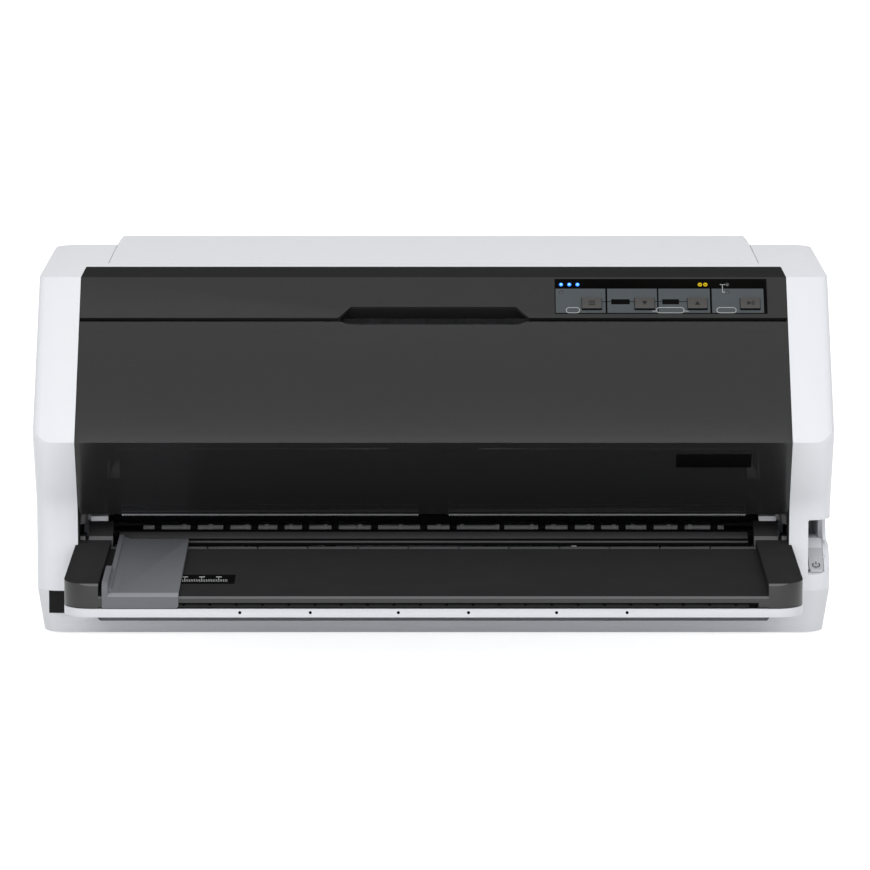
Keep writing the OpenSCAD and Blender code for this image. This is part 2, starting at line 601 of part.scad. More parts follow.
module table_top() color("#2b2b2d") {
    difference() {
        intersection() {
            translate([0, 0, tray_z[1]]) linear_extrude(60) table_plan(0, table_y, arm_back_y);
            union() {
                // arms
                both_sides() along_x(arm_in, half_w)
                    polygon([[table_y, tray_z[1]], [arm_back_y, tray_z[1]], [arm_back_y, arm_back_z],
                        [table_y + 1.5, arm_front_z],
                        [table_y, arm_front_z - 1.2]]);
                // plate with its bevelled front edge, and the ridge along its back edge
                along_x(-arm_in - tiny, arm_in + tiny)
                    polygon([[table_y, tray_z[1] + 0.8], [table_y + 3.2, tray_z[1] + 0.8], [table_y + 3.2,
                        plate_front_z - plate_t],
                        [plate_back_y, plate_back_z - plate_t], [plate_back_y, plate_back_z + ridge_h],
                            [plate_back_y - 0.8, plate_back_z + ridge_h],
                        [plate_back_y - 2.6, plate_z(plate_back_y - 2.6)], [table_y + 1.3,
                            plate_z(table_y + 1.3)], [table_y, plate_front_z - 1.1]]);
            }
        }
        // hollow arms, open below
        both_sides() intersection() {
            along_x(arm_in + 2, half_w)
                polygon([[front_y, tray_z[1] - 1], [base_y - 3, tray_z[1] - 1],
                    [base_y - 3, arm_back_z - 3], [front_y, arm_front_z - 2.5]]);
            linear_extrude(top_z) table_plan(arm_wall, table_y + arm_wall, base_y - 3);
        }
        // clear of the base's upright wall
        both_sides() range_box([arm_in - 1, open_x + 1], [base_y - 1, arm_back_y + 1],
            [0, wall_top_z + 0.6]);
        // gaps in the ridge
        for (i = [-5:6]) let (x = (i - 0.5) * ridge_pitch)
            range_box([x - ridge_gap / 2, x + ridge_gap / 2], [plate_back_y - 2.7, plate_back_y + 1],
                [plate_back_z, plate_back_z + 2]);
        // groove with a sloping floor under the front edge, and the dark notches in it
        along_x(-groove_x, groove_x) polygon([[table_y - 1, groove_z[0] - 0.5], [table_y + 1.6,
            groove_z[0] + 0.8], [table_y + 1.6, groove_z[1]],
            [table_y - 1, groove_z[1]]]);
        for (i = [-11:12]) let (x = (i - 0.5) * notch_pitch)
            range_box([x - 0.8, x + 0.8], [table_y - 1, table_y + 2.8], groove_z);
        both_sides() range_box([groove_x - tiny, groove_x + 5.5], [table_y - 1, table_y + 2.6],
            [groove_z[0] - 1.2, groove_z[1]]);
    }
    // shoulders behind the arms: a low front face, then a ramp
    both_sides() along_x(arm_in - 1, open_x - leg_t - 0.4)
        polygon([[arm_back_y - tiny, wall_top_z + 0.6], [arm_back_y + 13, wall_top_z + 0.6],
            [arm_back_y + 13, shoulder_z[1]],
            [arm_back_y + 10, shoulder_z[1]], [arm_back_y - tiny, shoulder_z[0]]]);
    both_sides() range_box([open_x - leg_t + 1.8, open_x - 2 * fit], [arm_back_y - tiny, arm_back_y + 13],
        [arm_back_z - 3, shoulder_z[0]]);
}
module table_tray() color("#eceef1") {
    difference() {
        translate([0, 0, tray_z[0]]) linear_extrude(tray_z[1] - tray_z[0]) table_plan(0, front_y,
            base_y - gap);
        translate([0, 0, tray_z[0] + 2]) linear_extrude(10) table_plan(2.5, front_y + 2.5, base_y - 6);
        // small holes in the front lip
        for (x = [20.4, 71.6, 112.6]) both_sides() rod_y(x, (tray_z[0] + tray_z[1]) / 2 + 0.4, 0.9,
            front_y - 1, front_y + 2);
    }
    // stiffening ribs, up to the underside of the plate
    for (x = [-1, 0, 1]) range_box([x * 0.6 * arm_in - 1, x * 0.6 * arm_in + 1], [front_y + 20, base_y - 6],
        [tray_z[0] + 1, plate_front_z - plate_t - 0.1]);
    both_sides() range_box([arm_in + 6, arm_in + 8], [front_y + 20, base_y - 6], [tray_z[0] + 1,
        arm_front_z - 4]);
}
guide_x = -arm_in + 2.2;                         // left side of the edge guide at rest
guide_gap = 0.35;
guide_back_y = plate_back_y + 8;
guide_wall_x = guide_x + 2.6;                    // paper stop on the guide
guide_corner_r = 4;
guide_taper = 2.4;                               // how much thinner the guide is at its front edge
module edge_guide() color("#63656b") {
    z_at = function (y, up) plate_z(y) + guide_gap + up;
    y0 = front_y;
    y1 = guide_back_y;
    x1 = guide_x + guide_w;
    relief_y = plate_back_y - 3.2;
    flat_y = [y0 + 3, y1 - 2];                   // where its top is flat
    top_z_at = function (y) z_at(y, guide_t - guide_taper * (flat_y[1] - y) / (flat_y[1] - flat_y[0]));
    slope = atan2(top_z_at(flat_y[1]) - top_z_at(flat_y[0]), flat_y[1] - flat_y[0]);
    intersection() {
        union() {
            // plate that lies on the table, clear of the ridge, and the lip that hangs over its front edge
            along_x(guide_x + 3, x1)
                polygon([[y0, tray_z[1] + 0.4], [table_y - guide_gap, tray_z[1] + 0.4],
                    [table_y - guide_gap, plate_front_z - 0.75],
                    [table_y + 1, z_at(table_y + 1, 0)], [relief_y, z_at(relief_y, 0)],
                    [relief_y, z_at(relief_y, 1.3)], [y1, z_at(y1, 1.3)], [y1, top_z_at(y1) - 0.5],
                    [flat_y[1], top_z_at(flat_y[1])], [flat_y[0], top_z_at(flat_y[0])],
                    [y0 + 1, top_z_at(y0) - 0.7], [y0, top_z_at(y0) - 1.7]]);
            // paper stop along the whole left side, running softly into the plate
            translate([guide_wall_x, table_y, top_z_at(table_y) - guide_t]) rotate([slope, 0, 0])
                translate([0, y1 - table_y - 0.4, 0]) rotate([90, 0, 0]) linear_extrude(y1 - table_y - 3.4)
                    polygon([[0, guide_t - 1.2], [6, guide_t - 1.2], [6, guide_t], [4.2, guide_t + 0.4],
                        [3, guide_t + 1], [2.6, guide_t + 2.4], [0, guide_t + 2.4]]);
        }
        translate([0, 0, tray_z[1]]) linear_extrude(40)
            polygon(concat([[guide_x, y0 - 1], [x1, y0 - 1]],
                arc([x1 - guide_corner_r, y1 - guide_corner_r], guide_corner_r, 0, 90), [[guide_x, y1]]));
    }
    // finger grip at the front, outside the stop
    along_x(guide_x, guide_x + 3.4 + tiny) polygon(concat([[y0, tray_z[1] + 0.4], [table_y - guide_gap,
        tray_z[1] + 0.4],
        [table_y - guide_gap, plate_front_z + guide_gap + 0.2], [y0 + 50, z_at(y0 + 50, 0)]],
        arc([y0 + 44, z_at(y0 + 44, guide_t - 2)], 6, 0, 90, 5), arc([y0 + 5, z_at(y0 + 5, guide_t - 1)], 5,
            90, 180, 5)));
}
scale_y = [table_y + 32.5, table_y + 55.4];
module scale_strip() color("#0c0c0d") {
    // rule printed on a strip let onto the plate, beside and under the edge guide
    y = scale_y;
    along_x(-arm_in + 22, -arm_in + 78)
        polygon([[y[0], plate_z(y[0])], [y[1], plate_z(y[1])], [y[1], plate_z(y[1]) + 0.12],
            [y[0], plate_z(y[0]) + 0.12]]);
}
module port_cap() color("#161617") {
    // dark cap that closes the front tractor's drive port, at the bottom of its pocket
    range_box([pocket_x[0] + tiny, pocket_x[1] - tiny], [base_y + 2, base_y + 4.4], [pocket_z[0] + tiny,
        seam_z - 0.4]);
}

// ---------- power switch ----------
rocker_len = 27;
rocker_w = 8.6;
rocker_tip = 8;                                  // how far it tips, in degrees
rocker_pin_r = 0.9;
rocker_pin_z = 1.5;                              // above the slope
module rocker_pin(r) { rod_x(0, rocker_pin_z, r, -rocker_w / 2 - 0.75, rocker_w / 2 + 1.9); }
switch_mid = [recess_x + 0.6 + rocker_w / 2 + 0.4, (switch_y[0] + switch_y[1]) / 2,
    (switch_z[0] + switch_z[1]) / 2];
module at_switch() { translate(switch_mid) rotate([switch_slope, 0, 0]) children(); }
module power_switch_body() color("#e9ebee") {
    // bed under the sloping rocker, against the recess's inner wall
    difference() {
        intersection() {
            along_x(recess_x + 0.2, recess_x + rocker_w + 3.8)
                polygon([[switch_y[0] + 1, switch_z[0] + 0.7], [switch_y[0] + 1.2, switch_z[0] + 2.8],
                    [switch_y[1] + 2, switch_z[1] + 3.6], [switch_y[1] + 14, switch_z[1] + 3.6],
                    [switch_y[1] + 14, switch_z[1] + 0.1], [switch_y[1] + 0.1, switch_z[1] + 0.1]]);
            base_plan(0.6);
        }
        at_switch() translate([-rocker_w / 2 - 0.4, -rocker_len / 2 - 0.6, -7])
            cube([rocker_w + 0.8, rocker_len + 1.2, 40]);
        at_switch() rocker_pin(rocker_pin_r + run);
    }
}
module power_rocker() color("#c9cbcf") {
    at_switch() {
        along_x(-rocker_w / 2, rocker_w / 2) polygon([[-rocker_len / 2, 0.6], [0, 0.6], [rocker_len / 2,
            0.6 + rocker_len / 2 * tan(rocker_tip)],
            [rocker_len / 2, 5.6], [rocker_len / 4, 3.4], [-rocker_len / 2, 2.6]]);
        rocker_pin(rocker_pin_r);
    }
}

// ---------- chassis ----------
frame_back_y = tractor_y + 48;
frame_top_z = belt_z + 22;
module side_plate() {
    // one side frame, with its bores; the foot flange turns inwards
    difference() {
        union() {
            range_box([frame_in, frame_x], [frame_front_y, frame_back_y], [floor_z, frame_top_z]);
            range_box([frame_in - 14, frame_in + tiny], [rear_roller_y + 10, rear_roller_y + 40],
                [floor_z, floor_z + 2]);
        }
        for (y = [roller_y, rear_roller_y, tractor_y]) rod_x(y, roller_z, bush_r, frame_in - 1,
            frame_x + 1);
        rod_x(support_y, support_z, 3, frame_in - 1, frame_x + 1);
        rod_x(rail_y, rail_z, rail_r, frame_in - 1, frame_x + 1);
        rod_x(roller_y, pinch_z, pinch_shaft_r + run, frame_in - 1, frame_x + 1);
        rod_x(pinion_y, pinion_z, 11, frame_in - 1, frame_x + 1);
        // window above the carriage
        range_box([frame_in - 1, frame_x + 1], [head_y - 24, head_y + 26], [rail_z - 4, frame_top_z - 8]);
    }
}
module side_frame_right() color("#a9acb0") {
    side_plate();
    // studs that the idler gears turn on
    for (y = [front_idler_y, rear_idler_y]) {
        rod_x(y, roller_z, pin_r, frame_x - tiny, gear_x + gear_w + 0.4);
        rod_x(y, roller_z, pin_r + 2, gear_x + gear_w + 0.4 - tiny, gear_x + gear_w + 1.4);
    }
}
module side_frame_left() color("#a9acb0") mirror([1, 0, 0]) side_plate();
module roller_bushes() color("#e8e4d8") {
    both_sides() for (y = [roller_y, rear_roller_y, tractor_y]) difference() {
        rod_x(y, roller_z, bush_r, frame_in, frame_x);
        rod_x(y, roller_z, shaft_r + run, frame_in - 2, frame_x + 1);
    }
}
roller_spots = [-168, -146, -126, -109, -93, -78, -60, -36, -6, 12, 41, 66, 84, 100, 115, 132, 151, 171];
roller_scale = (frame_in - 8) / 190;
module feed_shaft(y, x1) {
    rod_x(y, roller_z, shaft_r, -frame_x - 1, x1);
    for (x = roller_spots) rod_x(y, roller_z, roller_r, x * roller_scale - 2.2, x * roller_scale + 2.2);
}
sleeve_x = 177;                                  // half length of the front roller's hard sleeve
sleeve_r = roller_r - 0.4;
module front_roller() color("#6d7074") {
    feed_shaft(roller_y, gear_x + gear_w);
    rod_x(roller_y, roller_z, sleeve_r, -sleeve_x, sleeve_x);
}
module rear_roller() color("#6d7074") feed_shaft(rear_roller_y, gear_x + gear_w);
pinch_r = 3.4;
pinch_shaft_r = 2;
pinch_z = paper_z + 0.4 + pinch_r;
module pinch_roller() color("#1b1b1c") {
    rod_x(roller_y, pinch_z, pinch_shaft_r, -frame_x, frame_x);
    for (x = roller_spots) rod_x(roller_y, pinch_z, pinch_r, x * roller_scale - 2, x * roller_scale + 2);
}
module platen() color("#1d1d1e") {
    // flat bar under the print line, tied to both side frames
    range_box([-frame_in, frame_in], [head_y - 9, head_y + 9], [paper_z - 8, paper_z - 0.5]);
}
module front_guide() color("#27272a") {
    // rises to the rollers; a narrow channel and a thin rim run along its front
    y = [base_y + 22, base_y + 25, base_y + 32];
    z = [plate_back_z + 1.6, plate_back_z + 3.7, paper_z - 1.4];
    x = arm_in - 4;
    t = 2;
    along_x(-x, x) polygon([[y[0], z[0] + 0.9], [y[0], z[0] - t], [y[2] - t, z[0] - t],
        [y[2] - t, z[2] - 9], [y[2], z[2] - 9], [y[2], z[2]],
        [y[1], z[1]], [y[1], z[0]], [y[0] + 0.8, z[0]], [y[0] + 0.8, z[0] + 0.9]]);
    // ends that rest against the side frames
    range_box([-frame_in, frame_in], [y[2] - t, y[2]], [z[2] - 9, z[2] - 3]);
}
module rear_guide() color("#27272a") {
    x = frame_in;
    along_x(-x, x) polygon([[rear_roller_y + 8, paper_z - 3], [rear_roller_y + 8, paper_z - 1.2],
        [tractor_y - 12, paper_z - 1.2], [tractor_y - 12, paper_z - 3]]);
    along_x(-x, x) polygon([[head_y + 9.3, paper_z - 3.5], [head_y + 9.3, paper_z - 0.8],
        [rear_roller_y - 6.5, paper_z - 0.8], [rear_roller_y - 6.5, paper_z - 3.5]]);
    along_x(-x, x) polygon([[roller_y + 6.5, paper_z - 3.5], [roller_y + 6.5, paper_z - 0.8], [head_y - 9.3,
        paper_z - 0.8], [head_y - 9.3, paper_z - 3.5]]);
}

// ---------- gears ----------
// one flank point of an involute tooth, at radius r, for a gear of base radius rb
function inv(a) = tan(a) * 180 / PI - a;
function flank(rb, r) = inv(acos(min(1, rb / r)));
function tooth_points(teeth, backlash) =
    let (rp = pitch_r(teeth), rb = rp * cos(20), ra = rp + 0.9 * gear_module, rr = rp - 1.2 * gear_module,
         half_p = 90 / teeth - backlash / 2 / rp * 180 / PI,
         rs = [for (k = [0:3]) max(rb, rr) + (ra - max(rb, rr)) * k / 3])
    concat([[rr, half_p + flank(rb, rp)]], [for (r = rs) [r, half_p + flank(rb, rp) - flank(rb, r)]]);
module gear_plan(teeth, phase, bore) {
    pts = tooth_points(teeth, 0.3);
    n = len(pts);
    difference() {
        polygon([for (t = [0:teeth - 1]) each concat(
            [for (k = [0:n - 1]) let (a = phase + t * 360 / teeth - pts[k][1]) pts[k][0] * [cos(a),
                sin(a)]],
            [for (k = [n - 1:-1:0]) let (a = phase + t * 360 / teeth + pts[k][1]) pts[k][0] * [cos(a),
                sin(a)]])]);
        if (bore > 0) circle(r = bore, $fn = 12);
    }
}
module gear_at(y, z, teeth, phase, bore) {
    translate([gear_x, y, z]) rotate([90, 0, 90]) linear_extrude(gear_w) gear_plan(teeth, phase, bore);
}
shaft_bore = (shaft_r + 0.05) / cos(15);
module front_roller_gear() color("#dcdcd4") gear_at(roller_y, roller_z, gear_small, 0, shaft_bore);
module rear_roller_gear() color("#dcdcd4") gear_at(rear_roller_y, roller_z, gear_small, 0, shaft_bore);
module tractor_gear() color("#dcdcd4") gear_at(tractor_y, roller_z, gear_small, 0, shaft_bore);
module front_idler_gear() color("#dcdcd4") gear_at(front_idler_y, roller_z, gear_front_idler,
    180 / gear_front_idler, (pin_r + 0.15) / cos(15));
module rear_idler_gear() color("#dcdcd4") gear_at(rear_idler_y, roller_z, gear_rear_idler,
    180 / gear_rear_idler, (pin_r + 0.15) / cos(15));
module feed_pinion() color("#b59a4c") {
    gear_at(pinion_y, pinion_z, gear_pinion, 90, 0);
    rod_x(pinion_y, pinion_z, motor_shaft_r, frame_in + 2, gear_x + gear_w + 1);
}
module feed_motor() color("#4c4e52") {
    m = 19;
    x1 = frame_in - 0.2;
    range_box([x1 - 36, x1], [pinion_y - m, pinion_y + m], [pinion_z - m, pinion_z + m]);
    rod_x(pinion_y, pinion_z, 10.5, x1 - tiny, x1 + 2);
}

// ---------- tractor ----------
tractor_w = 20;
tractor_x = frame_in - 58;
pin_pitch = 12.7;
module tractor_drive_shaft() color("#8d9094") {
    rod_x(tractor_y, roller_z, shaft_r, -frame_x - 1, gear_x + gear_w);
}
module tractor_support_shaft() color("#8d9094") rod_x(support_y, support_z, 3, -frame_x, frame_x);
module tractor_body() {
    y = [tractor_y - 11, tractor_y + 41];
    edge = tractor_x + tractor_w / 2;
    difference() {
        union() {
            along_x(tractor_x - tractor_w / 2, edge)
                polygon([[y[0], roller_z - 6], [y[0] + 5, roller_z - 12], [y[1] - 5, roller_z - 14],
                    [y[1], roller_z - 8], [y[1], paper_z - 1.5], [y[0], paper_z - 1.5]]);
            // paper pins on the belt
            for (i = [0:2]) translate([tractor_x, tractor_y + 2 + i * pin_pitch, paper_z - 1.6])
                cylinder(h = 2.6, r1 = 1.9, r2 = 1.2, $fn = 16);
            // lock lever's hub
            rod_x(tractor_y + 17, roller_z - 5, 4, tractor_x - tractor_w / 2 - 3,
                tractor_x - tractor_w / 2 + tiny);
            // ears for the lid
            for (s = [0, 1]) range_box([edge - tiny, edge + 6], [tractor_y - 6 + s * 36,
                tractor_y - 2 + s * 36], [paper_z - 8, paper_z + 3.5]);
        }
        rod_x(tractor_y, roller_z, shaft_r + run, 0, frame_x);
        rod_x(support_y, support_z, 3 + run, 0, frame_x);
        rod_y(edge + 3, paper_z + 0.5, 1.5 + run, tractor_y - 8, tractor_y + 40);
    }
}
module tractor_lid() {
    z = paper_z + 2;
    x = [tractor_x - tractor_w / 2, tractor_x + tractor_w / 2];
    difference() {
        range_box([x[0], x[1] - 1.2], [tractor_y - 9, tractor_y + 38], [z, z + 2]);
        range_box([tractor_x - 2.6, tractor_x + 2.6], [tractor_y - 3, tractor_y + 33], [z - 1, z + 3]);
    }
    range_box([x[1] - 1.3, x[1] + 4.5], [tractor_y + 6, tractor_y + 29.5], [z, z + 2]);
    rod_y(x[1] + 3, paper_z + 0.5, 1.5, tractor_y - 6, tractor_y + 34);
    range_box([x[1] + 2, x[1] + 4], [tractor_y + 6, tractor_y + 29.5], [paper_z + 0.5, z + tiny]);
}
module tractor_right() color("#3b3c3f") tractor_body();
module tractor_left() color("#3b3c3f") mirror([1, 0, 0]) tractor_body();
module tractor_lid_right() color("#4a4b4f") tractor_lid();
module tractor_lid_left() color("#4a4b4f") mirror([1, 0, 0]) tractor_lid();

// ---------- carriage ----------
module carriage_rail() color("#c6c9cc") rod_x(rail_y, rail_z, rail_r, -frame_x, frame_x);
module guide_bar() color("#a9acb0") {
    range_box([-frame_in, frame_in], [bar_y, bar_y + bar_t], [rail_z - 8, rail_z + 6]);
}
saddle_z = paper_z + 20;                         // underside of the head's saddle
tail_z = rail_z + 10.5;
module carriage() color("#38393c") {
    c = carriage_w / 2;
    difference() {
        union() {
            // sleeve on the rail
            range_box([-c, c], [rail_y - 12, rail_y + 12], [rail_z - 12, rail_z + 12]);
            // saddle that carries the print head
            range_box([-c + 4, c - 4], [head_y - head_r - 2, rail_y - 12 + tiny], [saddle_z, saddle_z + 5]);
            // tail that rides on the guide bar and holds the belt
            range_box([-c + 8, c - 8], [rail_y + 12 - tiny, bar_y + bar_t + fit + 3], [rail_z + 7, tail_z]);
            range_box([-c + 8, c - 8], [bar_y + bar_t + fit, bar_y + bar_t + fit + 3],
                [rail_z - 3, tail_z]);
            range_box([-c + 16, c - 16], [bar_y + bar_t + fit + 3 - tiny,
                belt_y - pulley_r - belt_t / 2 - 0.25], [belt_z - 4, belt_z + 4]);
            range_box([-c + 16, c - 16], [belt_y - pulley_r + belt_t / 2 + 0.25,
                belt_y - pulley_r + belt_t / 2 + 2.25], [belt_z - 4, belt_z + 7]);
            range_box([-c + 16, c - 16], [bar_y + bar_t + fit + 3 - tiny,
                belt_y - pulley_r + belt_t / 2 + 2.25], [belt_z + belt_h / 2 + 0.4, belt_z + 7]);
        }
        rod_x(rail_y, rail_z, rail_r + run, -c - 1, c + 1);
        // groove over the guide bar
        range_box([-c, c], [bar_y - fit, bar_y + bar_t + fit], [rail_z - 10, rail_z + 6 + fit]);
        // hole that the head's nose goes down through
        rod_z(0, head_y, 10, saddle_z - 1, saddle_z + 6);
    }
}
module print_head() color("#26272a") {
    z0 = saddle_z + 5 + 0.05;
    rod_z(0, head_y, head_r - 2, z0, z0 + 26);
    // cooling fins
    for (i = [0:5]) rod_z(0, head_y, head_r, z0 + i * 4.4, z0 + i * 4.4 + 2);
    // nose down to the ribbon
    rod_z(0, head_y, 9.5, saddle_z - 1, z0 + tiny);
    along_x(-7, 7) polygon([[head_y - 9, saddle_z - 1 + tiny], [head_y - 4, paper_z + 1.3],
        [head_y + 4, paper_z + 1.3], [head_y + 9, saddle_z - 1 + tiny]]);
}
module pulley(x, r_bore) {
    difference() {
        union() {
            rod_z(x, belt_y, pulley_r - belt_t / 2 - 0.1, belt_z - belt_h / 2 - 0.6,
                belt_z + belt_h / 2 + 0.6);
            rod_z(x, belt_y, pulley_r + 2, belt_z - belt_h / 2 - 1.6, belt_z - belt_h / 2 - 0.6 + tiny);
            rod_z(x, belt_y, pulley_r + 2, belt_z + belt_h / 2 + 0.6 - tiny, belt_z + belt_h / 2 + 1.6);
        }
        rod_z(x, belt_y, r_bore, belt_z - 10, belt_z + 10);
    }
}
module motor_pulley() color("#b59a4c") {
    pulley(-pulley_x, motor_shaft_r);
    rod_z(-pulley_x, belt_y, motor_shaft_r, belt_z - 6, belt_z + 7.4);
}
module idler_pulley() color("#dcdcd4") pulley(pulley_x, pin_r + run);
module timing_belt() color("#1a1a1b") {
    translate([0, 0, belt_z - belt_h / 2]) linear_extrude(belt_h) difference() {
        union() {
            translate([-pulley_x, belt_y - pulley_r - belt_t / 2])
                square([2 * pulley_x, 2 * pulley_r + belt_t]);
            for (s = [-1, 1]) translate([s * pulley_x, belt_y]) circle(r = pulley_r + belt_t / 2);
        }
        union() {
            translate([-pulley_x, belt_y - pulley_r + belt_t / 2])
                square([2 * pulley_x, 2 * pulley_r - belt_t]);
            for (s = [-1, 1]) translate([s * pulley_x, belt_y]) circle(r = pulley_r - belt_t / 2);
        }
    }
}
module carriage_motor() color("#4c4e52") {
    range_box([-pulley_x - 20, -pulley_x + 20], [belt_y - 20, belt_y + 20], [belt_z + 10.6, belt_z + 44]);
    rod_z(-pulley_x, belt_y, 10, belt_z + 8.4, belt_z + 10.6 + tiny);
}
module belt_brackets() color("#a9acb0") {
    // shelf that the carriage motor stands on
    difference() {
        range_box([-frame_in, -pulley_x + 21], [belt_y - 21, belt_y + 21], [belt_z + 8.4, belt_z + 10.4]);
        rod_z(-pulley_x, belt_y, 10.2, belt_z, belt_z + 20);
    }
    range_box([-frame_in, -frame_in + 2], [bar_y + bar_t, belt_y + 21], [belt_z - 10, belt_z + 8.4 + tiny]);
    // idler's shelf with its pin
    range_box([pulley_x - 10, frame_in], [belt_y - 12, belt_y + 12], [belt_z + 8.4, belt_z + 10.4]);
    range_box([frame_in - 2, frame_in], [belt_y - 12, belt_y + 12], [belt_z - 10, belt_z + 8.4 + tiny]);
    rod_z(pulley_x, belt_y, pin_r, belt_z - 6, belt_z + 8.4 + tiny);
    rod_z(pulley_x, belt_y, pin_r + 1.5, belt_z - 7, belt_z - 6 + tiny);
}

// ---------- ribbon ----------
cart_y = [head_y - head_r - 32, head_y - head_r - 3];
cart_z = [paper_z + 14, paper_z + 44];
arm_tip_x = [frame_in - 22, frame_in - 8];
ribbon_z = [paper_z + 0.5, paper_z + 0.9];
knob_x = -frame_in + 40;
module ribbon_cartridge() color("#1c1c1e") {
    x = frame_in - 8;
    difference() {
        range_box([-x, x], cart_y, cart_z);
        rod_z(knob_x, (cart_y[0] + cart_y[1]) / 2, 4 + run, cart_z[1] - 8, cart_z[1] + 1);
        // shallow panel lines on the lid
        range_box([-x + 8, x - 8], [cart_y[0] + 3, cart_y[0] + 4], [cart_z[1] - 0.8, cart_z[1] + 1]);
    }
    // arms that bring the ribbon to the print line
    both_sides() {
        along_x(arm_tip_x[0], arm_tip_x[1])
            polygon([[cart_y[1] - tiny, cart_z[0]], [cart_y[1] - tiny, cart_z[0] + 14],
                [head_y + 2, cart_z[0] + 4], [head_y + 9, ribbon_z[1] + 3],
                [head_y + 9, ribbon_z[0]], [head_y - 9, ribbon_z[0]], [cart_y[1] + 2, ribbon_z[1] + 8]]);
        // pegs that rest in the side frames' front edge
        range_box([x - tiny, frame_in - 0.2], [cart_y[0] + 8, cart_y[1] - 8], [cart_z[0] + 8,
            cart_z[0] + 14]);
    }
}
module ribbon_band() color("#0d0d0e") {
    range_box([-arm_tip_x[0], arm_tip_x[0]], [head_y - 6.5, head_y + 6.5], ribbon_z);
}
module ribbon_knob() color("#3f6fb0") {
    y = (cart_y[0] + cart_y[1]) / 2;
    rod_z(knob_x, y, 4, cart_z[1] - 7, cart_z[1] + 0.6);
    difference() {
        rod_z(knob_x, y, 9, cart_z[1] + 0.5, cart_z[1] + 7);
        for (a = [0:30:330]) rotate_about(knob_x, y, a) rod_z(knob_x + 9.6, y, 1.2, cart_z[1] + 0.4,
            cart_z[1] + 8);
    }
}
module rotate_about(x, y, a) { translate([x, y, 0]) rotate([0, 0, a]) translate([-x, -y, 0]) children(); }

// ---------- electronics ----------
board_z = floor_z + 4;
module main_board() color("#2f6b3c") {
    x = [20, half_w - 46];
    y = [back_y - 110, back_y - 10];
    range_box(x, y, [board_z, board_z + 1.6]);
    for (p = [[x[0] + 6, y[0] + 6], [x[1] - 6, y[0] + 6], [x[0] + 6, y[1] - 6], [x[1] - 6, y[1] - 6]])
        rod_z(p[0], p[1], 3, floor_z, board_z + tiny);
    // chips, capacitors and the head's driver with its heat sink
    range_box([x[0] + 30, x[0] + 58], [y[0] + 30, y[0] + 58], [board_z + 1.6 - tiny, board_z + 3.4]);
    range_box([x[0] + 70, x[0] + 92], [y[0] + 20, y[0] + 30], [board_z + 1.6 - tiny, board_z + 3.4]);
    range_box([x[0] + 104, x[0] + 150], [y[0] + 14, y[0] + 26], [board_z + 1.6 - tiny, board_z + 22]);
    for (i = [0:2]) rod_z(x[0] + 16, y[0] + 24 + i * 16, 5, board_z + 1.6 - tiny, board_z + 20);
}
module power_supply() color("#8a6d3b") {
    x = [-half_w + 60, -20];
    y = [back_y - 124, back_y - 24];
    range_box(x, y, [board_z, board_z + 1.6]);
    for (p = [[x[0] + 6, y[0] + 6], [x[1] - 6, y[0] + 6], [x[0] + 6, y[1] - 6], [x[1] - 6, y[1] - 6]])
        rod_z(p[0], p[1], 3, floor_z, board_z + tiny);
    range_box([x[0] + 60, x[0] + 100], [y[0] + 26, y[0] + 62], [board_z + 1.6 - tiny, board_z + 30]);
    range_box([x[0] + 112, x[0] + 118], [y[0] + 16, y[0] + 80], [board_z + 1.6 - tiny, board_z + 28]);
    for (i = [0:1]) rod_z(x[0] + 34, y[0] + 28 + i * 30, 11, board_z + 1.6 - tiny, board_z + 32);
}
module rear_sockets() color("#3a3b3e") {
    // mains inlet
    difference() {
        range_box([inlet_x - inlet_w / 2 + 0.2, inlet_x + inlet_w / 2 - 0.2], [back_y - 22, back_y - 0.6],
            [floor_z + 1.7, floor_z + 1.3 + inlet_h]);
        range_box([inlet_x - inlet_w / 2 + 3, inlet_x + inlet_w / 2 - 3], [back_y - 18, back_y + 1],
            [floor_z + 4.5, floor_z + inlet_h - 1.5]);
    }
    for (x = [-7, 0, 7]) range_box([inlet_x + x - 1, inlet_x + x + 1], [back_y - 18 - tiny, back_y - 4],
        [floor_z + 9 + (x == 0 ? 2.5 : 0), floor_z + 13 + (x == 0 ? 2.5 : 0)]);
    // parallel and square serial connectors, standing on the main board
    difference() {
        range_box([port_x[0] + 3, port_x[0] + 68], [back_y - 16, back_y - 0.6], [board_z + 1.6,
            port_z[1] - 0.5]);
        range_box([port_x[0] + 8, port_x[0] + 63], [back_y - 10, back_y], [board_z + 4.5, port_z[1] - 3.5]);
    }
    difference() {
        range_box([port_x[1] - 20, port_x[1] - 6], [back_y - 16, back_y - 0.6], [board_z + 1.6,
            port_z[1] - 0.5]);
        range_box([port_x[1] - 18, port_x[1] - 8], [back_y - 10, back_y], [board_z + 3.5, port_z[1] - 2.5]);
    }
}
module rubber_feet() color("#2a2a2b") {
    for (x = [-1, 1], y = [base_y + 40, back_y - 45]) rod_z(x * (half_w - 40), y, foot_r, 0, base_bottom_z);
}
module case_screws() color("#8d9094") {
    for (s = screw_spots) {
        rod_z(s[0], s[1], 1.9, base_bottom_z + 0.6, seam_z - 7);
        rod_z(s[0], s[1], screw_head_r, base_bottom_z + 0.3, base_bottom_z + 1.6);
    }
}

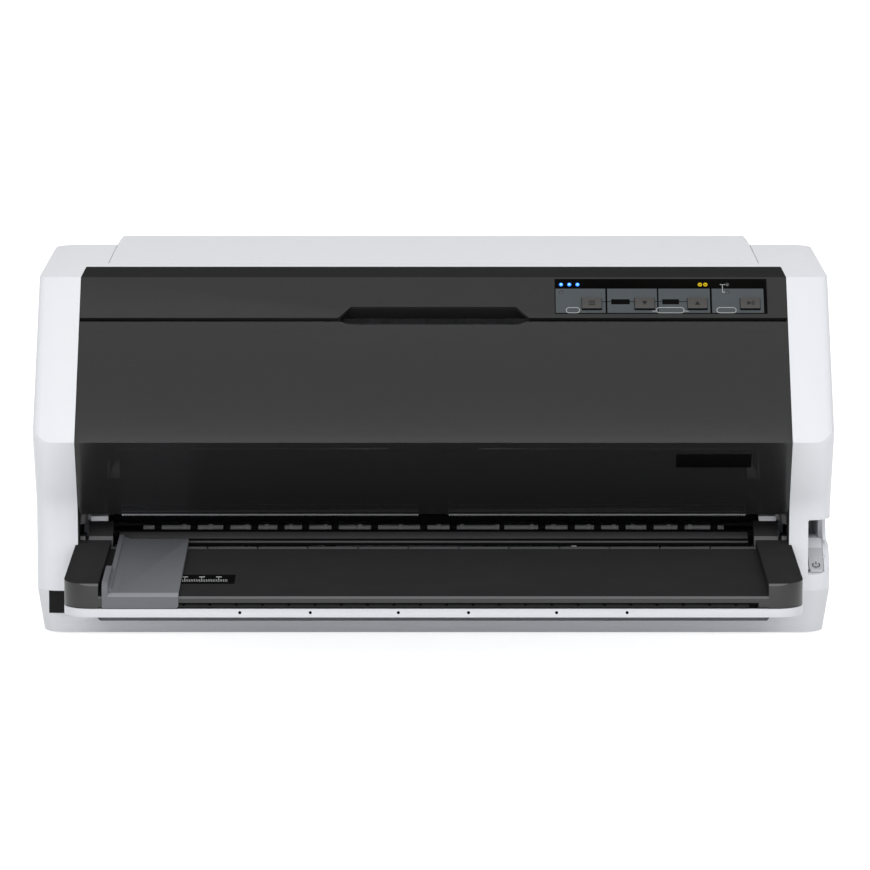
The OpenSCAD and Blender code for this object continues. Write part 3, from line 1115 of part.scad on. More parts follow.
// ---------- the assembly ----------
lower_case();
upper_case();
front_panel();
key_overlay();
key_board();
indicator_lights();
key(0);  // key_1
key(1);  // key_2
key(2);  // key_3
key(3);  // key_4
front_cover();
tear_bar();
cover_label();
rear_cover();
table_top();
table_tray();
edge_guide();
scale_strip();
port_cap();
power_switch_body();
power_rocker();
side_frame_left();
side_frame_right();
platen();
front_guide();
rear_guide();
front_roller();
rear_roller();
pinch_roller();
roller_bushes();
front_roller_gear();
rear_roller_gear();
front_idler_gear();
rear_idler_gear();
tractor_gear();
feed_pinion();
feed_motor();
tractor_drive_shaft();
tractor_support_shaft();
tractor_left();
tractor_right();
tractor_lid_left();
tractor_lid_right();
carriage_rail();
guide_bar();
carriage();
print_head();
carriage_motor();
motor_pulley();
idler_pulley();
timing_belt();
belt_brackets();
ribbon_cartridge();
ribbon_band();
ribbon_knob();
main_board();
power_supply();
rear_sockets();
rubber_feet();
case_screws();
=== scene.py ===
"""Looks of the flatbed dot matrix printer: cases, cover, panel, table, paper drive and print carriage."""

import math

import bpy
from mathutils import Matrix, Vector


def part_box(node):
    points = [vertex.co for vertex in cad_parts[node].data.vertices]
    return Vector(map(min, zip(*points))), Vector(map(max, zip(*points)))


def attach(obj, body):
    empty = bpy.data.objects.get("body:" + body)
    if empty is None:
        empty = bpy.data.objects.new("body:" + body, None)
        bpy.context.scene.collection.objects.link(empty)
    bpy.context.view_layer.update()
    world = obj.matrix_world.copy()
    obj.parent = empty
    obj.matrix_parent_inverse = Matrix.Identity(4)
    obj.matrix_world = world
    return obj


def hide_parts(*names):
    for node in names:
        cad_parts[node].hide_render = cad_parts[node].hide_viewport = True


bl_info = {
    "name": "Flatbed Dot Matrix Printer",
    "version": (1, 0, 0),
    "blender": (4, 5, 0),
    "location": "3D View > Sidebar > Printer",
    "description": "Finishes the printer's cases, cover, control panel, table, paper drive and carriage",
    "category": "Add Mesh",
}

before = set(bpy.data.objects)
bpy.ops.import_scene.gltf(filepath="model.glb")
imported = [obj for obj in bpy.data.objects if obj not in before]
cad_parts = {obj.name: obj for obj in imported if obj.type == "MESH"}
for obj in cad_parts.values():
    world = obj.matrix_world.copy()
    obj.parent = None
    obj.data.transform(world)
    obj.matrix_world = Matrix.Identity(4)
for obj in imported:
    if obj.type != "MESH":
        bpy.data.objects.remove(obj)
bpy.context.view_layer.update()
MM = 0.001


def srgb(*levels):
    """Colour from 0 to 255 display levels, as linear values."""
    shares = [level / 255 for level in levels]
    return tuple(s / 12.92 if s <= 0.04045 else ((s + 0.055) / 1.055) ** 2.4 for s in shares)


# ---------- places, from the frame where it gives them ----------
CASE_LOW, CASE_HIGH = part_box("upper_case")
TABLE_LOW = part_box("table_top")[0]
TRAY_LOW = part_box("table_tray")[0]
BASE_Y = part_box("lower_case")[0].y
TOP_Z = CASE_HIGH.z
TOP_FRONT_Y = -15 * MM          # front edge of the flat top
CREASE_Y = CASE_LOW.y           # the cover's crease is the case's foremost line
CREASE_Z = 120.8 * MM
FACE_LEAN = math.atan2(TOP_FRONT_Y - CREASE_Y, TOP_Z - CREASE_Z)
FACE_TURN = math.pi / 2 - FACE_LEAN
OPEN_X = 214.5 * MM             # inner faces of the pillars
RECESS_X = 226 * MM             # inner wall of the power switch recess
RECESS_TOP_Z = 69.6 * MM        # its ceiling
COVER_LOW_Z = 71.6 * MM         # lower edge of the front cover
COVER_LEAN = math.radians(28.3)  # how far the cover leans back below its crease
COVER_CUT_X = 210.6 * MM        # the cover's lower edge is lifted between these two ends
COVER_LIFT = 1.5 * MM
NEAR = 0.05 * MM                # two places closer than this are the same


def face_point(x, down, out=0.0):
    """Point on the leaning face: x across, down from its top edge, out of the face."""
    return Vector((
        x,
        TOP_FRONT_Y - down * math.sin(FACE_LEAN) - out * math.cos(FACE_LEAN),
        TOP_Z - down * math.cos(FACE_LEAN) + out * math.sin(FACE_LEAN),
    ))


def down_face(point):
    """How far down the leaning face a point lies, and how far out of it."""
    dy, dz = point.y - TOP_FRONT_Y, point.z - TOP_Z
    return (
        -dy * math.sin(FACE_LEAN) - dz * math.cos(FACE_LEAN),
        -dy * math.cos(FACE_LEAN) + dz * math.sin(FACE_LEAN),
    )


# ---------- settings ----------
class PrinterSizes(bpy.types.PropertyGroup):
    """Sizes of the finishing work, in metres."""

    case_edge: bpy.props.FloatProperty(
        name="Case edge", description="Rounding of the white case's edges", default=0.9 * MM, unit="LENGTH")
    small_edge: bpy.props.FloatProperty(
        name="Small edge", description="Rounding of small moulded pieces", default=0.35 * MM, unit="LENGTH")
    sheet_edge: bpy.props.FloatProperty(
        name="Sheet edge", description="Rounding of sheet metal edges", default=0.2 * MM, unit="LENGTH")


def colour_setting(name, description, *levels):
    """A colour that can be changed in the sidebar, from 0 to 255 display levels."""
    return bpy.props.FloatVectorProperty(
        name=name, description=description, default=srgb(*levels), subtype="COLOR", min=0, max=1)


class PrinterColours(bpy.types.PropertyGroup):
    """Colours of the finishes."""

    case_white: colour_setting("Case white", "Upper case, tray and lid", 236, 238, 243)
    base_white: colour_setting("Base grey", "Lower case", 226, 228, 232)
    panel_black: colour_setting("Panel black", "Dark panel across the top", 47, 47, 48)
    table_black: colour_setting("Table black", "Paper table", 47, 47, 48)
    guide_grey: colour_setting("Guide grey", "Sliding edge guide", 110, 111, 116)
    field_grey: colour_setting("Field grey", "Fields round the keys", 70, 76, 80)
    smoke: colour_setting("Smoke", "Tinted front cover", 40, 40, 41)
    light_blue: colour_setting("Light blue", "Lit indicator lights", 36, 120, 255)


# ---------- shader node groups ----------
COLOUR, NUMBER = "NodeSocketColor", "NodeSocketFloat"
SHARE = (0, 1)                  # least and greatest value of a share


def new_group(name, inputs, outputs):
    """A shader node group. An input is its name, kind, value and limits, an output its name and kind."""
    group = bpy.data.node_groups.new(name, "ShaderNodeTree")
    for label, kind, value, *limits in inputs:
        made = group.interface.new_socket(name=label, in_out="INPUT", socket_type=kind)
        made.default_value = value
        if limits:
            made.min_value, made.max_value = limits
    for label, kind in outputs:
        group.interface.new_socket(name=label, in_out="OUTPUT", socket_type=kind)
    return group, group.nodes.new("NodeGroupInput").outputs, group.nodes.new("NodeGroupOutput").inputs


def math_node(tree, operation, first, second=None, clamp=False):
    """A Math node fed by sockets or numbers; gives its output."""
    node = tree.nodes.new("ShaderNodeMath")
    node.operation, node.use_clamp = operation, clamp
    for place, value in enumerate((first, second)):
        if value is None:
            continue
        if isinstance(value, (int, float)):
            node.inputs[place].default_value = value
        else:
            tree.links.new(value, node.inputs[place])
    return node.outputs[0]


def mix_colour(tree, factor, first, second):
    """Mixes two colours; gives the mixed colour."""
    node = tree.nodes.new("ShaderNodeMix")
    node.data_type = "RGBA"
    for place, value in (("Factor", factor), ("A", first), ("B", second)):
        kind = "VALUE" if place == "Factor" else "RGBA"
        socket = next(s for s in node.inputs if s.name == place and s.type == kind)
        if isinstance(value, tuple):
            socket.default_value = (*value, 1)
        else:
            tree.links.new(value, socket)
    return next(s for s in node.outputs if s.type == "RGBA")


def scaled_colour(tree, colour, level):
    """A colour times a level."""
    node = tree.nodes.new("ShaderNodeVectorMath")
    node.operation = "SCALE"
    tree.links.new(colour, node.inputs[0])
    tree.links.new(level, node.inputs["Scale"])
    return node.outputs[0]


def swing(tree, value, amount):
    """How far a noise value swings from its middle, times an amount."""
    return math_node(tree, "MULTIPLY", math_node(tree, "SUBTRACT", value, 0.5), amount)


def noise(tree, scale, detail, stretch=None):
    """Noise on Object coordinates, stretched along an axis where wanted; gives its value."""
    where = tree.nodes.new("ShaderNodeTexCoord").outputs["Object"]
    if stretch:
        mapping = tree.nodes.new("ShaderNodeMapping")
        mapping.inputs["Scale"].default_value = stretch
        tree.links.new(where, mapping.inputs["Vector"])
        where = mapping.outputs[0]
    node = tree.nodes.new("ShaderNodeTexNoise")
    node.inputs["Detail"].default_value = detail
    if isinstance(scale, (int, float)):
        node.inputs["Scale"].default_value = scale
    else:
        tree.links.new(scale, node.inputs["Scale"])
    tree.links.new(where, node.inputs["Vector"])
    return node.outputs[0]


def build_moulded_grain():
    """Fine spark-eroded grain of moulded plastic, with slow drifts of tone and gloss."""
    group, given, gives = new_group(
        "moulded grain",
        [("Colour", COLOUR, (0.5, 0.5, 0.5, 1)), ("Tone Drift", NUMBER, 0.03, *SHARE),
         ("Roughness", NUMBER, 0.5, *SHARE), ("Gloss Drift", NUMBER, 0.06, *SHARE),
         ("Grain", NUMBER, 1400.0, 1, 9000)],
        [("Colour", COLOUR), ("Roughness", NUMBER), ("Height", NUMBER)])
    slow = noise(group, 9.0, 3.0)
    fine = noise(group, given["Grain"], 1.0)
    drift = swing(group, slow, given["Tone Drift"])
    speck = swing(group, fine, given["Tone Drift"])
    level = math_node(group, "ADD", 1.0, math_node(group, "ADD", drift, speck))
    gloss = swing(group, slow, given["Gloss Drift"])
    group.links.new(scaled_colour(group, given["Colour"], level), gives["Colour"])
    group.links.new(math_node(group, "ADD", given["Roughness"], gloss, True), gives["Roughness"])
    group.links.new(fine, gives["Height"])
    return group


def build_edge_wear():
    """Handled edges: a slightly lighter line where the surface turns sharply, broken up by noise."""
    group, given, gives = new_group(
        "edge wear",
        [("Colour", COLOUR, (0.5, 0.5, 0.5, 1)), ("Worn Colour", COLOUR, (0.7, 0.7, 0.7, 1)),
         ("Amount", NUMBER, 0.2, *SHARE)],
        [("Colour", COLOUR)])
    reach = group.nodes.new("ShaderNodeMapRange")
    reach.inputs["From Min"].default_value, reach.inputs["From Max"].default_value = 0.52, 0.62
    group.links.new(group.nodes.new("ShaderNodeNewGeometry").outputs["Pointiness"], reach.inputs["Value"])
    broken = math_node(group, "MULTIPLY", reach.outputs[0], noise(group, 160.0, 3.0))
    mask = math_node(group, "MULTIPLY", broken, given["Amount"], True)
    group.links.new(mix_colour(group, mask, given["Colour"], given["Worn Colour"]), gives["Colour"])
    return group


def build_settled_dust():
    """Thin dust that settles on faces that look up."""
    group, given, gives = new_group(
        "settled dust",
        [("Colour", COLOUR, (0.5, 0.5, 0.5, 1)), ("Dust Colour", COLOUR, (0.35, 0.34, 0.32, 1)),
         ("Amount", NUMBER, 0.03, *SHARE), ("Roughness", NUMBER, 0.5, *SHARE)],
        [("Colour", COLOUR), ("Roughness", NUMBER)])
    normal = group.nodes.new("ShaderNodeSeparateXYZ")
    group.links.new(group.nodes.new("ShaderNodeTexCoord").outputs["Normal"], normal.inputs[0])
    up = math_node(group, "MAXIMUM", normal.outputs["Z"], 0.0)
    level = math_node(group, "MULTIPLY", up, noise(group, 38.0, 5.0))
    mask = math_node(group, "MULTIPLY", level, given["Amount"], True)
    group.links.new(mix_colour(group, mask, given["Colour"], given["Dust Colour"]), gives["Colour"])
    group.links.new(math_node(group, "ADD", given["Roughness"], mask, True), gives["Roughness"])
    return group


def build_drawn_metal():
    """Lines that drawing or rolling leaves along X, with patches of duller metal."""
    group, given, gives = new_group(
        "drawn metal",
        [("Colour", COLOUR, (0.6, 0.6, 0.6, 1)), ("Roughness", NUMBER, 0.3, *SHARE),
         ("Lines", NUMBER, 900.0, 1, 5000)],
        [("Colour", COLOUR), ("Roughness", NUMBER), ("Height", NUMBER)])
    lines = noise(group, given["Lines"], 2.0, (0.02, 1, 1))
    patches = noise(group, 30.0, 4.0)
    level = math_node(group, "ADD", 0.86, math_node(group, "MULTIPLY", patches, 0.28))
    group.links.new(scaled_colour(group, given["Colour"], level), gives["Colour"])
    spread = swing(group, lines, 0.25)
    group.links.new(math_node(group, "ADD", given["Roughness"], spread, True), gives["Roughness"])
    group.links.new(lines, gives["Height"])
    return group


def build_board_tracks():
    """Copper tracks and pads under the lacquer of a circuit board."""
    group, given, gives = new_group(
        "board tracks",
        [("Lacquer", COLOUR, (0.02, 0.15, 0.05, 1)), ("Track", COLOUR, (0.05, 0.28, 0.1, 1)),
         ("Pad", COLOUR, (0.6, 0.6, 0.55, 1))],
        [("Colour", COLOUR), ("Height", NUMBER)])
    cells = group.nodes.new("ShaderNodeTexVoronoi")
    cells.distance, cells.feature = "CHEBYCHEV", "F1"
    cells.inputs["Scale"].default_value = 260.0
    group.links.new(group.nodes.new("ShaderNodeTexCoord").outputs["Object"], cells.inputs["Vector"])
    tracks = math_node(group, "GREATER_THAN", cells.outputs["Distance"], 0.42)
    pads = math_node(group, "LESS_THAN", cells.outputs["Distance"], 0.1)
    under = mix_colour(group, tracks, given["Lacquer"], given["Track"])
    group.links.new(mix_colour(group, pads, under, given["Pad"]), gives["Colour"])
    group.links.new(tracks, gives["Height"])
    return group


GROUP_BUILDERS = {
    "moulded grain": build_moulded_grain,
    "edge wear": build_edge_wear,
    "settled dust": build_settled_dust,
    "drawn metal": build_drawn_metal,
    "board tracks": build_board_tracks,
}


def use_group(tree, name, **values):
    """Places a node group in a tree with its own values; names use _ for a space."""
    group = bpy.data.node_groups.get(name) or GROUP_BUILDERS[name]()
    node = tree.nodes.new("ShaderNodeGroup")
    node.node_tree = group
    for label, value in values.items():
        socket = node.inputs[label.replace("_", " ")]
        if isinstance(value, bpy.types.NodeSocket):
            tree.links.new(value, socket)
        elif hasattr(value, "__len__"):
            socket.default_value = (*tuple(value)[:3], 1)
        else:
            socket.default_value = value
    return node


# ---------- materials ----------
def start_material(name):
    """An empty material with a Principled shader; gives material, tree and shader."""
    material = bpy.data.materials.new(name)
    material.use_nodes = True
    tree = material.node_tree
    tree.nodes.clear()
    shader = tree.nodes.new("ShaderNodeBsdfPrincipled")
    tree.links.new(shader.outputs[0], tree.nodes.new("ShaderNodeOutputMaterial").inputs[0])
    return material, tree, shader


def feed(tree, shader, made, **constants):
    """Feeds a group's colour, and any roughness, into the shader, and sets the shader's constants."""
    tree.links.new(made.outputs["Colour"], shader.inputs["Base Color"])
    if "Roughness" in made.outputs:
        tree.links.new(made.outputs["Roughness"], shader.inputs["Roughness"])
    for label, value in constants.items():
        shader.inputs[label.replace("_", " ")].default_value = value


def raise_surface(tree, shader, height, strength, depth):
    """Feeds a height through a Bump node into the shader's normal."""
    bump = tree.nodes.new("ShaderNodeBump")
    bump.inputs["Strength"].default_value = strength
    bump.inputs["Distance"].default_value = depth
    tree.links.new(height, bump.inputs["Height"])
    tree.links.new(bump.outputs[0], shader.inputs["Normal"])


def moulded(name, colour, rough=0.5, specular=0.5, grain=1500.0):
    """Moulded plastic: grain, slow drift of tone, edge wear and a little settled dust."""
    material, tree, shader = start_material(name)
    worn = tuple(min(1.0, c * 1.25 + 0.02) for c in colour[:3])
    base = use_group(tree, "moulded grain", Colour=colour, Tone_Drift=0.03, Roughness=rough, Grain=grain)
    edge = use_group(tree, "edge wear", Colour=base.outputs["Colour"], Worn_Colour=worn, Amount=0.15)
    top = use_group(tree, "settled dust", Colour=edge.outputs["Colour"], Amount=0.02,
                    Roughness=base.outputs["Roughness"])
    feed(tree, shader, top, Specular_IOR_Level=specular)
    raise_surface(tree, shader, base.outputs["Height"], 0.35, 0.03 * MM)
    return material


def metal(name, colour, rough=0.3, lines=900.0):
    """Drawn or rolled metal."""
    material, tree, shader = start_material(name)
    base = use_group(tree, "drawn metal", Colour=colour, Roughness=rough, Lines=lines)
    feed(tree, shader, base, Metallic=1.0)
    raise_surface(tree, shader, base.outputs["Height"], 0.2, 0.02 * MM)
    return material


def circuit_board(name, lacquer, track):
    """Lacquered circuit board."""
    material, tree, shader = start_material(name)
    base = use_group(tree, "board tracks", Lacquer=lacquer, Track=track)
    feed(tree, shader, base, Roughness=0.35)
    raise_surface(tree, shader, base.outputs["Height"], 0.3, 0.04 * MM)
    return material


def smoked_cover(colours):
    """Tinted see-through plastic of the front cover."""
    material, tree, shader = start_material("smoked cover")
    base = use_group(tree, "moulded grain", Colour=colours.smoke, Tone_Drift=0.02, Roughness=0.22,
                     Gloss_Drift=0.03, Grain=500.0)
    feed(tree, shader, base, Alpha=0.86, Specular_IOR_Level=0.4)
    return material


def lit_lens(name, colour, strength):
    """Small light with a clear lens."""
    material, tree, shader = start_material(name)
    base = use_group(tree, "moulded grain", Colour=colour, Tone_Drift=0.05, Roughness=0.2, Grain=2500.0)
    feed(tree, shader, base, Emission_Strength=strength)
    tree.links.new(base.outputs["Colour"], shader.inputs["Emission Color"])
    return material


# ---------- modelling helpers ----------
def only(obj):
    """Selects one object and nothing else."""
    if bpy.context.object and bpy.context.object.mode != "OBJECT":
        bpy.ops.object.mode_set(mode="OBJECT")
    bpy.ops.object.select_all(action="DESELECT")
    obj.select_set(True)
    bpy.context.view_layer.objects.active = obj
    return obj


def leave():
    """Back to object mode."""
    bpy.ops.object.mode_set(mode="OBJECT")


def edit_whole(obj):
    """Opens edit mode on one object with all of it selected."""
    only(obj)
    bpy.ops.object.mode_set(mode="EDIT")
    bpy.ops.mesh.select_all(action="SELECT")


def traced(node, name):
    """A copy of a CAD node's shape with its loose triangles merged into clean faces."""
    only(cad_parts[node])
    bpy.ops.object.duplicate()
    obj = bpy.context.object
    obj.name = obj.data.name = name
    for key in list(obj.keys()):
        del obj[key]
    obj.parent = None
    obj.data.materials.clear()
    edit_whole(obj)
    bpy.ops.mesh.customdata_custom_splitnormals_clear()
    bpy.ops.mesh.remove_doubles(threshold=0.004 * MM)
    bpy.ops.mesh.dissolve_limited(angle_limit=math.radians(0.6))
    leave()
    return obj


def pick(obj, kind, test):
    """Opens edit mode with the faces, edges or vertices selected for which the test holds.
    A face is tested by its centre and normal, an edge by its two ends, a vertex by its place."""
    only(obj)
    bpy.ops.object.mode_set(mode="EDIT")
    bpy.ops.mesh.select_mode(type=kind)
    bpy.ops.mesh.select_all(action="DESELECT")
    leave()
    mesh = obj.data
    if kind == "FACE":
        for face in mesh.polygons:
            face.select = bool(test(face.center, face.normal))
    elif kind == "EDGE":
        for edge in mesh.edges:
            edge.select = bool(test(*(mesh.vertices[i].co for i in edge.vertices)))
    else:
        for vertex in mesh.vertices:
            vertex.select = bool(test(vertex.co))
    bpy.ops.object.mode_set(mode="EDIT")


def cut(obj, point, normal):
    """Cuts every face that a plane crosses, and keeps both sides."""
    pick(obj, "FACE", lambda c, n: True)
    bpy.ops.mesh.bisect(plane_co=point, plane_no=normal)
    leave()


def round_edges(obj, test, width, segments):
    """Rounds the edges for which the test holds."""
    pick(obj, "EDGE", test)
    bpy.ops.mesh.bevel(offset=width, segments=segments, affect="EDGES")
    leave()


def shift(obj, test, move):
    """Moves the vertices for which the test holds."""
    pick(obj, "VERT", test)
    bpy.ops.transform.translate(value=move)
    leave()


def smooth(obj):
    """Smooth shading, except over sharp edges."""
    only(obj)
    bpy.ops.object.shade_smooth_by_angle(angle=math.radians(35))


def soften(obj, width, segments=2):
    """Rounds every sharp edge by a Bevel modifier and smooths the shading."""
    only(obj)
    modifier = obj.modifiers.new("round", "BEVEL")
    modifier.width, modifier.segments = width, segments
    modifier.limit_method, modifier.angle_limit = "ANGLE", math.radians(30)
    modifier.use_clamp_overlap = True
    modifier.miter_outer = "MITER_ARC"
    bpy.ops.object.modifier_apply(modifier=modifier.name)
    smooth(obj)
    return obj


def paint(obj, finish, *places):
    """Gives an object its finish, and others, each with its test, on the faces for which the test holds."""
    obj.data.materials.clear()
    obj.data.materials.append(finish)
    for index, (other, test) in enumerate(places, 1):
        obj.data.materials.append(other)
        for face in obj.data.polygons:
            if test(face.center, face.normal):
                face.material_index = index


def settle(obj, body, replaces=()):
    """Puts a finished piece on its body, and hides the CAD nodes it stands for."""
    only(obj)
    bpy.ops.object.transform_apply(location=True, rotation=True, scale=True)
    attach(obj, body)
    if replaces:
        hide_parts(*replaces)
    return obj


def complete(obj, node, body, slot, finish, *places):
    """Paints the finished copy of a CAD node and puts it on its body in that node's place."""
    paint(obj, finish, *places)
    settle(obj, body, (node,))


def joined(pieces, name):
    """Several objects as one mesh."""
    bpy.ops.object.select_all(action="DESELECT")
    for piece in pieces:
        piece.select_set(True)
    bpy.context.view_layer.objects.active = pieces[0]
    if len(pieces) > 1:
        bpy.ops.object.join()
    obj = bpy.context.object
    obj.name = obj.data.name = name
    return obj


INK = 0.06 * MM                 # thickness of a printed mark
INK_CORNER = 0.3 * INK


def turned(lean, spin=0.0):
    """Rotation of something that lies on a face leaning by lean about X, spun by spin on that face."""
    return (Matrix.Rotation(lean, 3, "X") @ Matrix.Rotation(spin, 3, "Z")).to_euler()


def just_added(name, scale=None):
    """The object that was just added, with its name, and its scale applied where one is given."""
    obj = only(bpy.context.object)
    obj.name = obj.data.name = name
    if scale:
        obj.scale = scale
        bpy.ops.object.transform_apply(location=False, rotation=False, scale=True)
    return obj


def bevelled(obj, width, segments=1):
    """Cuts or rounds all edges of a plain shape."""
    edit_whole(obj)
    bpy.ops.mesh.bevel(offset=width, segments=segments, affect="EDGES")
    leave()
    return obj


def framed(obj, corner, segments, line, thick):
    """Turns a flat sheet into a frame with round corners, as wide as line."""
    edit_whole(obj)
    bpy.ops.mesh.bevel(offset=corner, segments=segments, affect="VERTICES")
    bpy.ops.mesh.select_all(action="SELECT")
    bpy.ops.mesh.inset(thickness=line, depth=0)
    bpy.ops.mesh.delete(type="FACE")
    leave()
    sheet = obj.modifiers.new("sheet", "SOLIDIFY")
    sheet.thickness, sheet.offset = thick, 1
    bpy.ops.object.modifier_apply(modifier="sheet")
    return obj


def box(name, ends):
    """A block from its two ends along x, y and z, in mm."""
    bpy.ops.mesh.primitive_cube_add(size=1, location=[(a + b) / 2 * MM for a, b in ends])
    return just_added(name, [abs(b - a) * MM for a, b in ends])


def flat_mark(name, centre, lean, width, length, spin=0.0):
    """A thin printed bar that lies on a leaning face, with its corners cut."""
    bpy.ops.mesh.primitive_cube_add(size=1, location=centre, rotation=turned(lean, spin))
    return bevelled(just_added(name, (width, length, INK)), INK_CORNER)


def triangle_mark(name, centre, lean, radius, spin=0.0):
    """A small printed triangle, pointing up the face before it is spun."""
    bpy.ops.mesh.primitive_cylinder_add(
        vertices=3, radius=radius, depth=INK, location=centre, rotation=turned(lean, spin))
    return bevelled(just_added(name), INK_CORNER)


def outline_mark(name, centre, lean, width, height, line):
    """A thin printed outline with round ends."""
    bpy.ops.mesh.primitive_plane_add(size=1, location=centre, rotation=turned(lean))
    return framed(just_added(name, (width, height, 1)), min(width, height) * 0.48, 7, line, INK)


def dome(name, centre, lean, radius, rise):
    """A low round lens that stands on a leaning face."""
    bpy.ops.mesh.primitive_uv_sphere_add(
        segments=24, ring_count=12, radius=radius, location=centre, rotation=turned(lean))
    obj = just_added(name, (1, 1, rise / radius))
    bpy.ops.object.shade_smooth()
    return obj


def printed(marks, name, ink, body="chassis"):
    """Printed marks as one piece on their body."""
    obj = joined(marks, name)
    paint(obj, ink)
    settle(obj, body)


def dress(material, *nodes):
    """Gives CAD nodes whose shape stays as it is their material."""
    for node in nodes:
        paint(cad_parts[node], material)


# ---------- operators ----------
SKY = 0.49                      # the world's light; where it is seen it is white
FLOOR_LIFT = 0.78               # what the floor adds where it is seen
CAMERA_DOWN = 9.23              # degrees below level


class PieceOperator:
    """What every piece operator shares: it runs its make method and raises on failure."""

    bl_options = {"REGISTER", "UNDO"}

    def execute(self, context):
        self.make(context.scene.printer_sizes, context.scene.printer_colours)
        return {"FINISHED"}


class PRINTER_OT_stage(bpy.types.Operator):
    """Sets the floor, the soft lights and the camera"""

    bl_idname = "printer.stage"
    bl_label = "Stage"
    bl_options = {"REGISTER", "UNDO"}

    def execute(self, context):
        bpy.ops.mesh.primitive_plane_add(size=60, location=(0, 0, 0))
        floor = context.object
        floor.name = "floor"
        floor.data.materials.append(self.floor_paint())
        self.world(context.scene)
        self.lamp("key light", (0, -2.50, 2.40), (0, -0.04, 0.15), 3.6, 1.4, 50)
        self.lamp("low front light", (0, -3.6, 0.38), (0, 0, 0.1), 3.2, 0.8, 14)
        self.lamp("back light", (0, 2.6, 2.2), (0, 0, 0.1), 3.0, 1.6, 3)
        tilt = math.radians(90 - CAMERA_DOWN)
        bpy.ops.object.camera_add(location=(0.0009, -3.153, 0.6232), rotation=(tilt, 0, 0))
        camera = context.object
        camera.data.lens, camera.data.sensor_width = 215.2, 36
        camera.data.clip_start, camera.data.clip_end = 0.05, 200
        context.scene.camera = camera
        context.scene.view_settings.view_transform = "Standard"
        return {"FINISHED"}

    @staticmethod
    def seen_directly(tree):
        """1 for camera, glossy and transmission rays, which show the white background."""
        path = tree.nodes.new("ShaderNodeLightPath")
        first = math_node(tree, "MAXIMUM", path.outputs["Is Camera Ray"], path.outputs["Is Glossy Ray"])
        return math_node(tree, "MAXIMUM", first, path.outputs["Is Transmission Ray"])

    def floor_paint(self):
        """Pale floor that lifts to white where it is seen and keeps the shadow."""
        material, tree, shader = start_material("pale floor")
        grain = noise(tree, 6.0, 3.0)
        tone = mix_colour(tree, grain, (0.92, 0.92, 0.92), (0.94, 0.94, 0.94))
        tree.links.new(tone, shader.inputs["Base Color"])
        shader.inputs["Roughness"].default_value = 0.9
        shader.inputs["Specular IOR Level"].default_value = 0.0
        lift = math_node(tree, "MULTIPLY", self.seen_directly(tree), FLOOR_LIFT)
        tree.links.new(lift, shader.inputs["Emission Strength"])
        shader.inputs["Emission Color"].default_value = (1, 1, 1, 1)
        return material

    def world(self, scene):
        """An even pale sky, white where it is seen."""
        world = bpy.data.worlds.new("studio")
        world.use_nodes = True
        scene.world = world
        tree = world.node_tree
        tree.nodes.clear()
        sky = tree.nodes.new("ShaderNodeBackground")
        sky.inputs["Color"].default_value = (1, 1, 1, 1)
        lift = math_node(tree, "MULTIPLY", self.seen_directly(tree), 1 - SKY)
        tree.links.new(math_node(tree, "ADD", SKY, lift), sky.inputs["Strength"])
        tree.links.new(sky.outputs[0], tree.nodes.new("ShaderNodeOutputWorld").inputs[0])

    @staticmethod
    def lamp(name, place, target, width, height, power):
        """A rectangular lamp, in metres and watts, that looks at its target."""
        turn = (Vector(target) - Vector(place)).to_track_quat("-Z", "Y").to_euler()
        bpy.ops.object.light_add(type="AREA", location=place, rotation=turn)
        lamp = bpy.context.object
        lamp.name = name
        lamp.data.shape = "RECTANGLE"
        lamp.data.size, lamp.data.size_y, lamp.data.energy = width, height, power


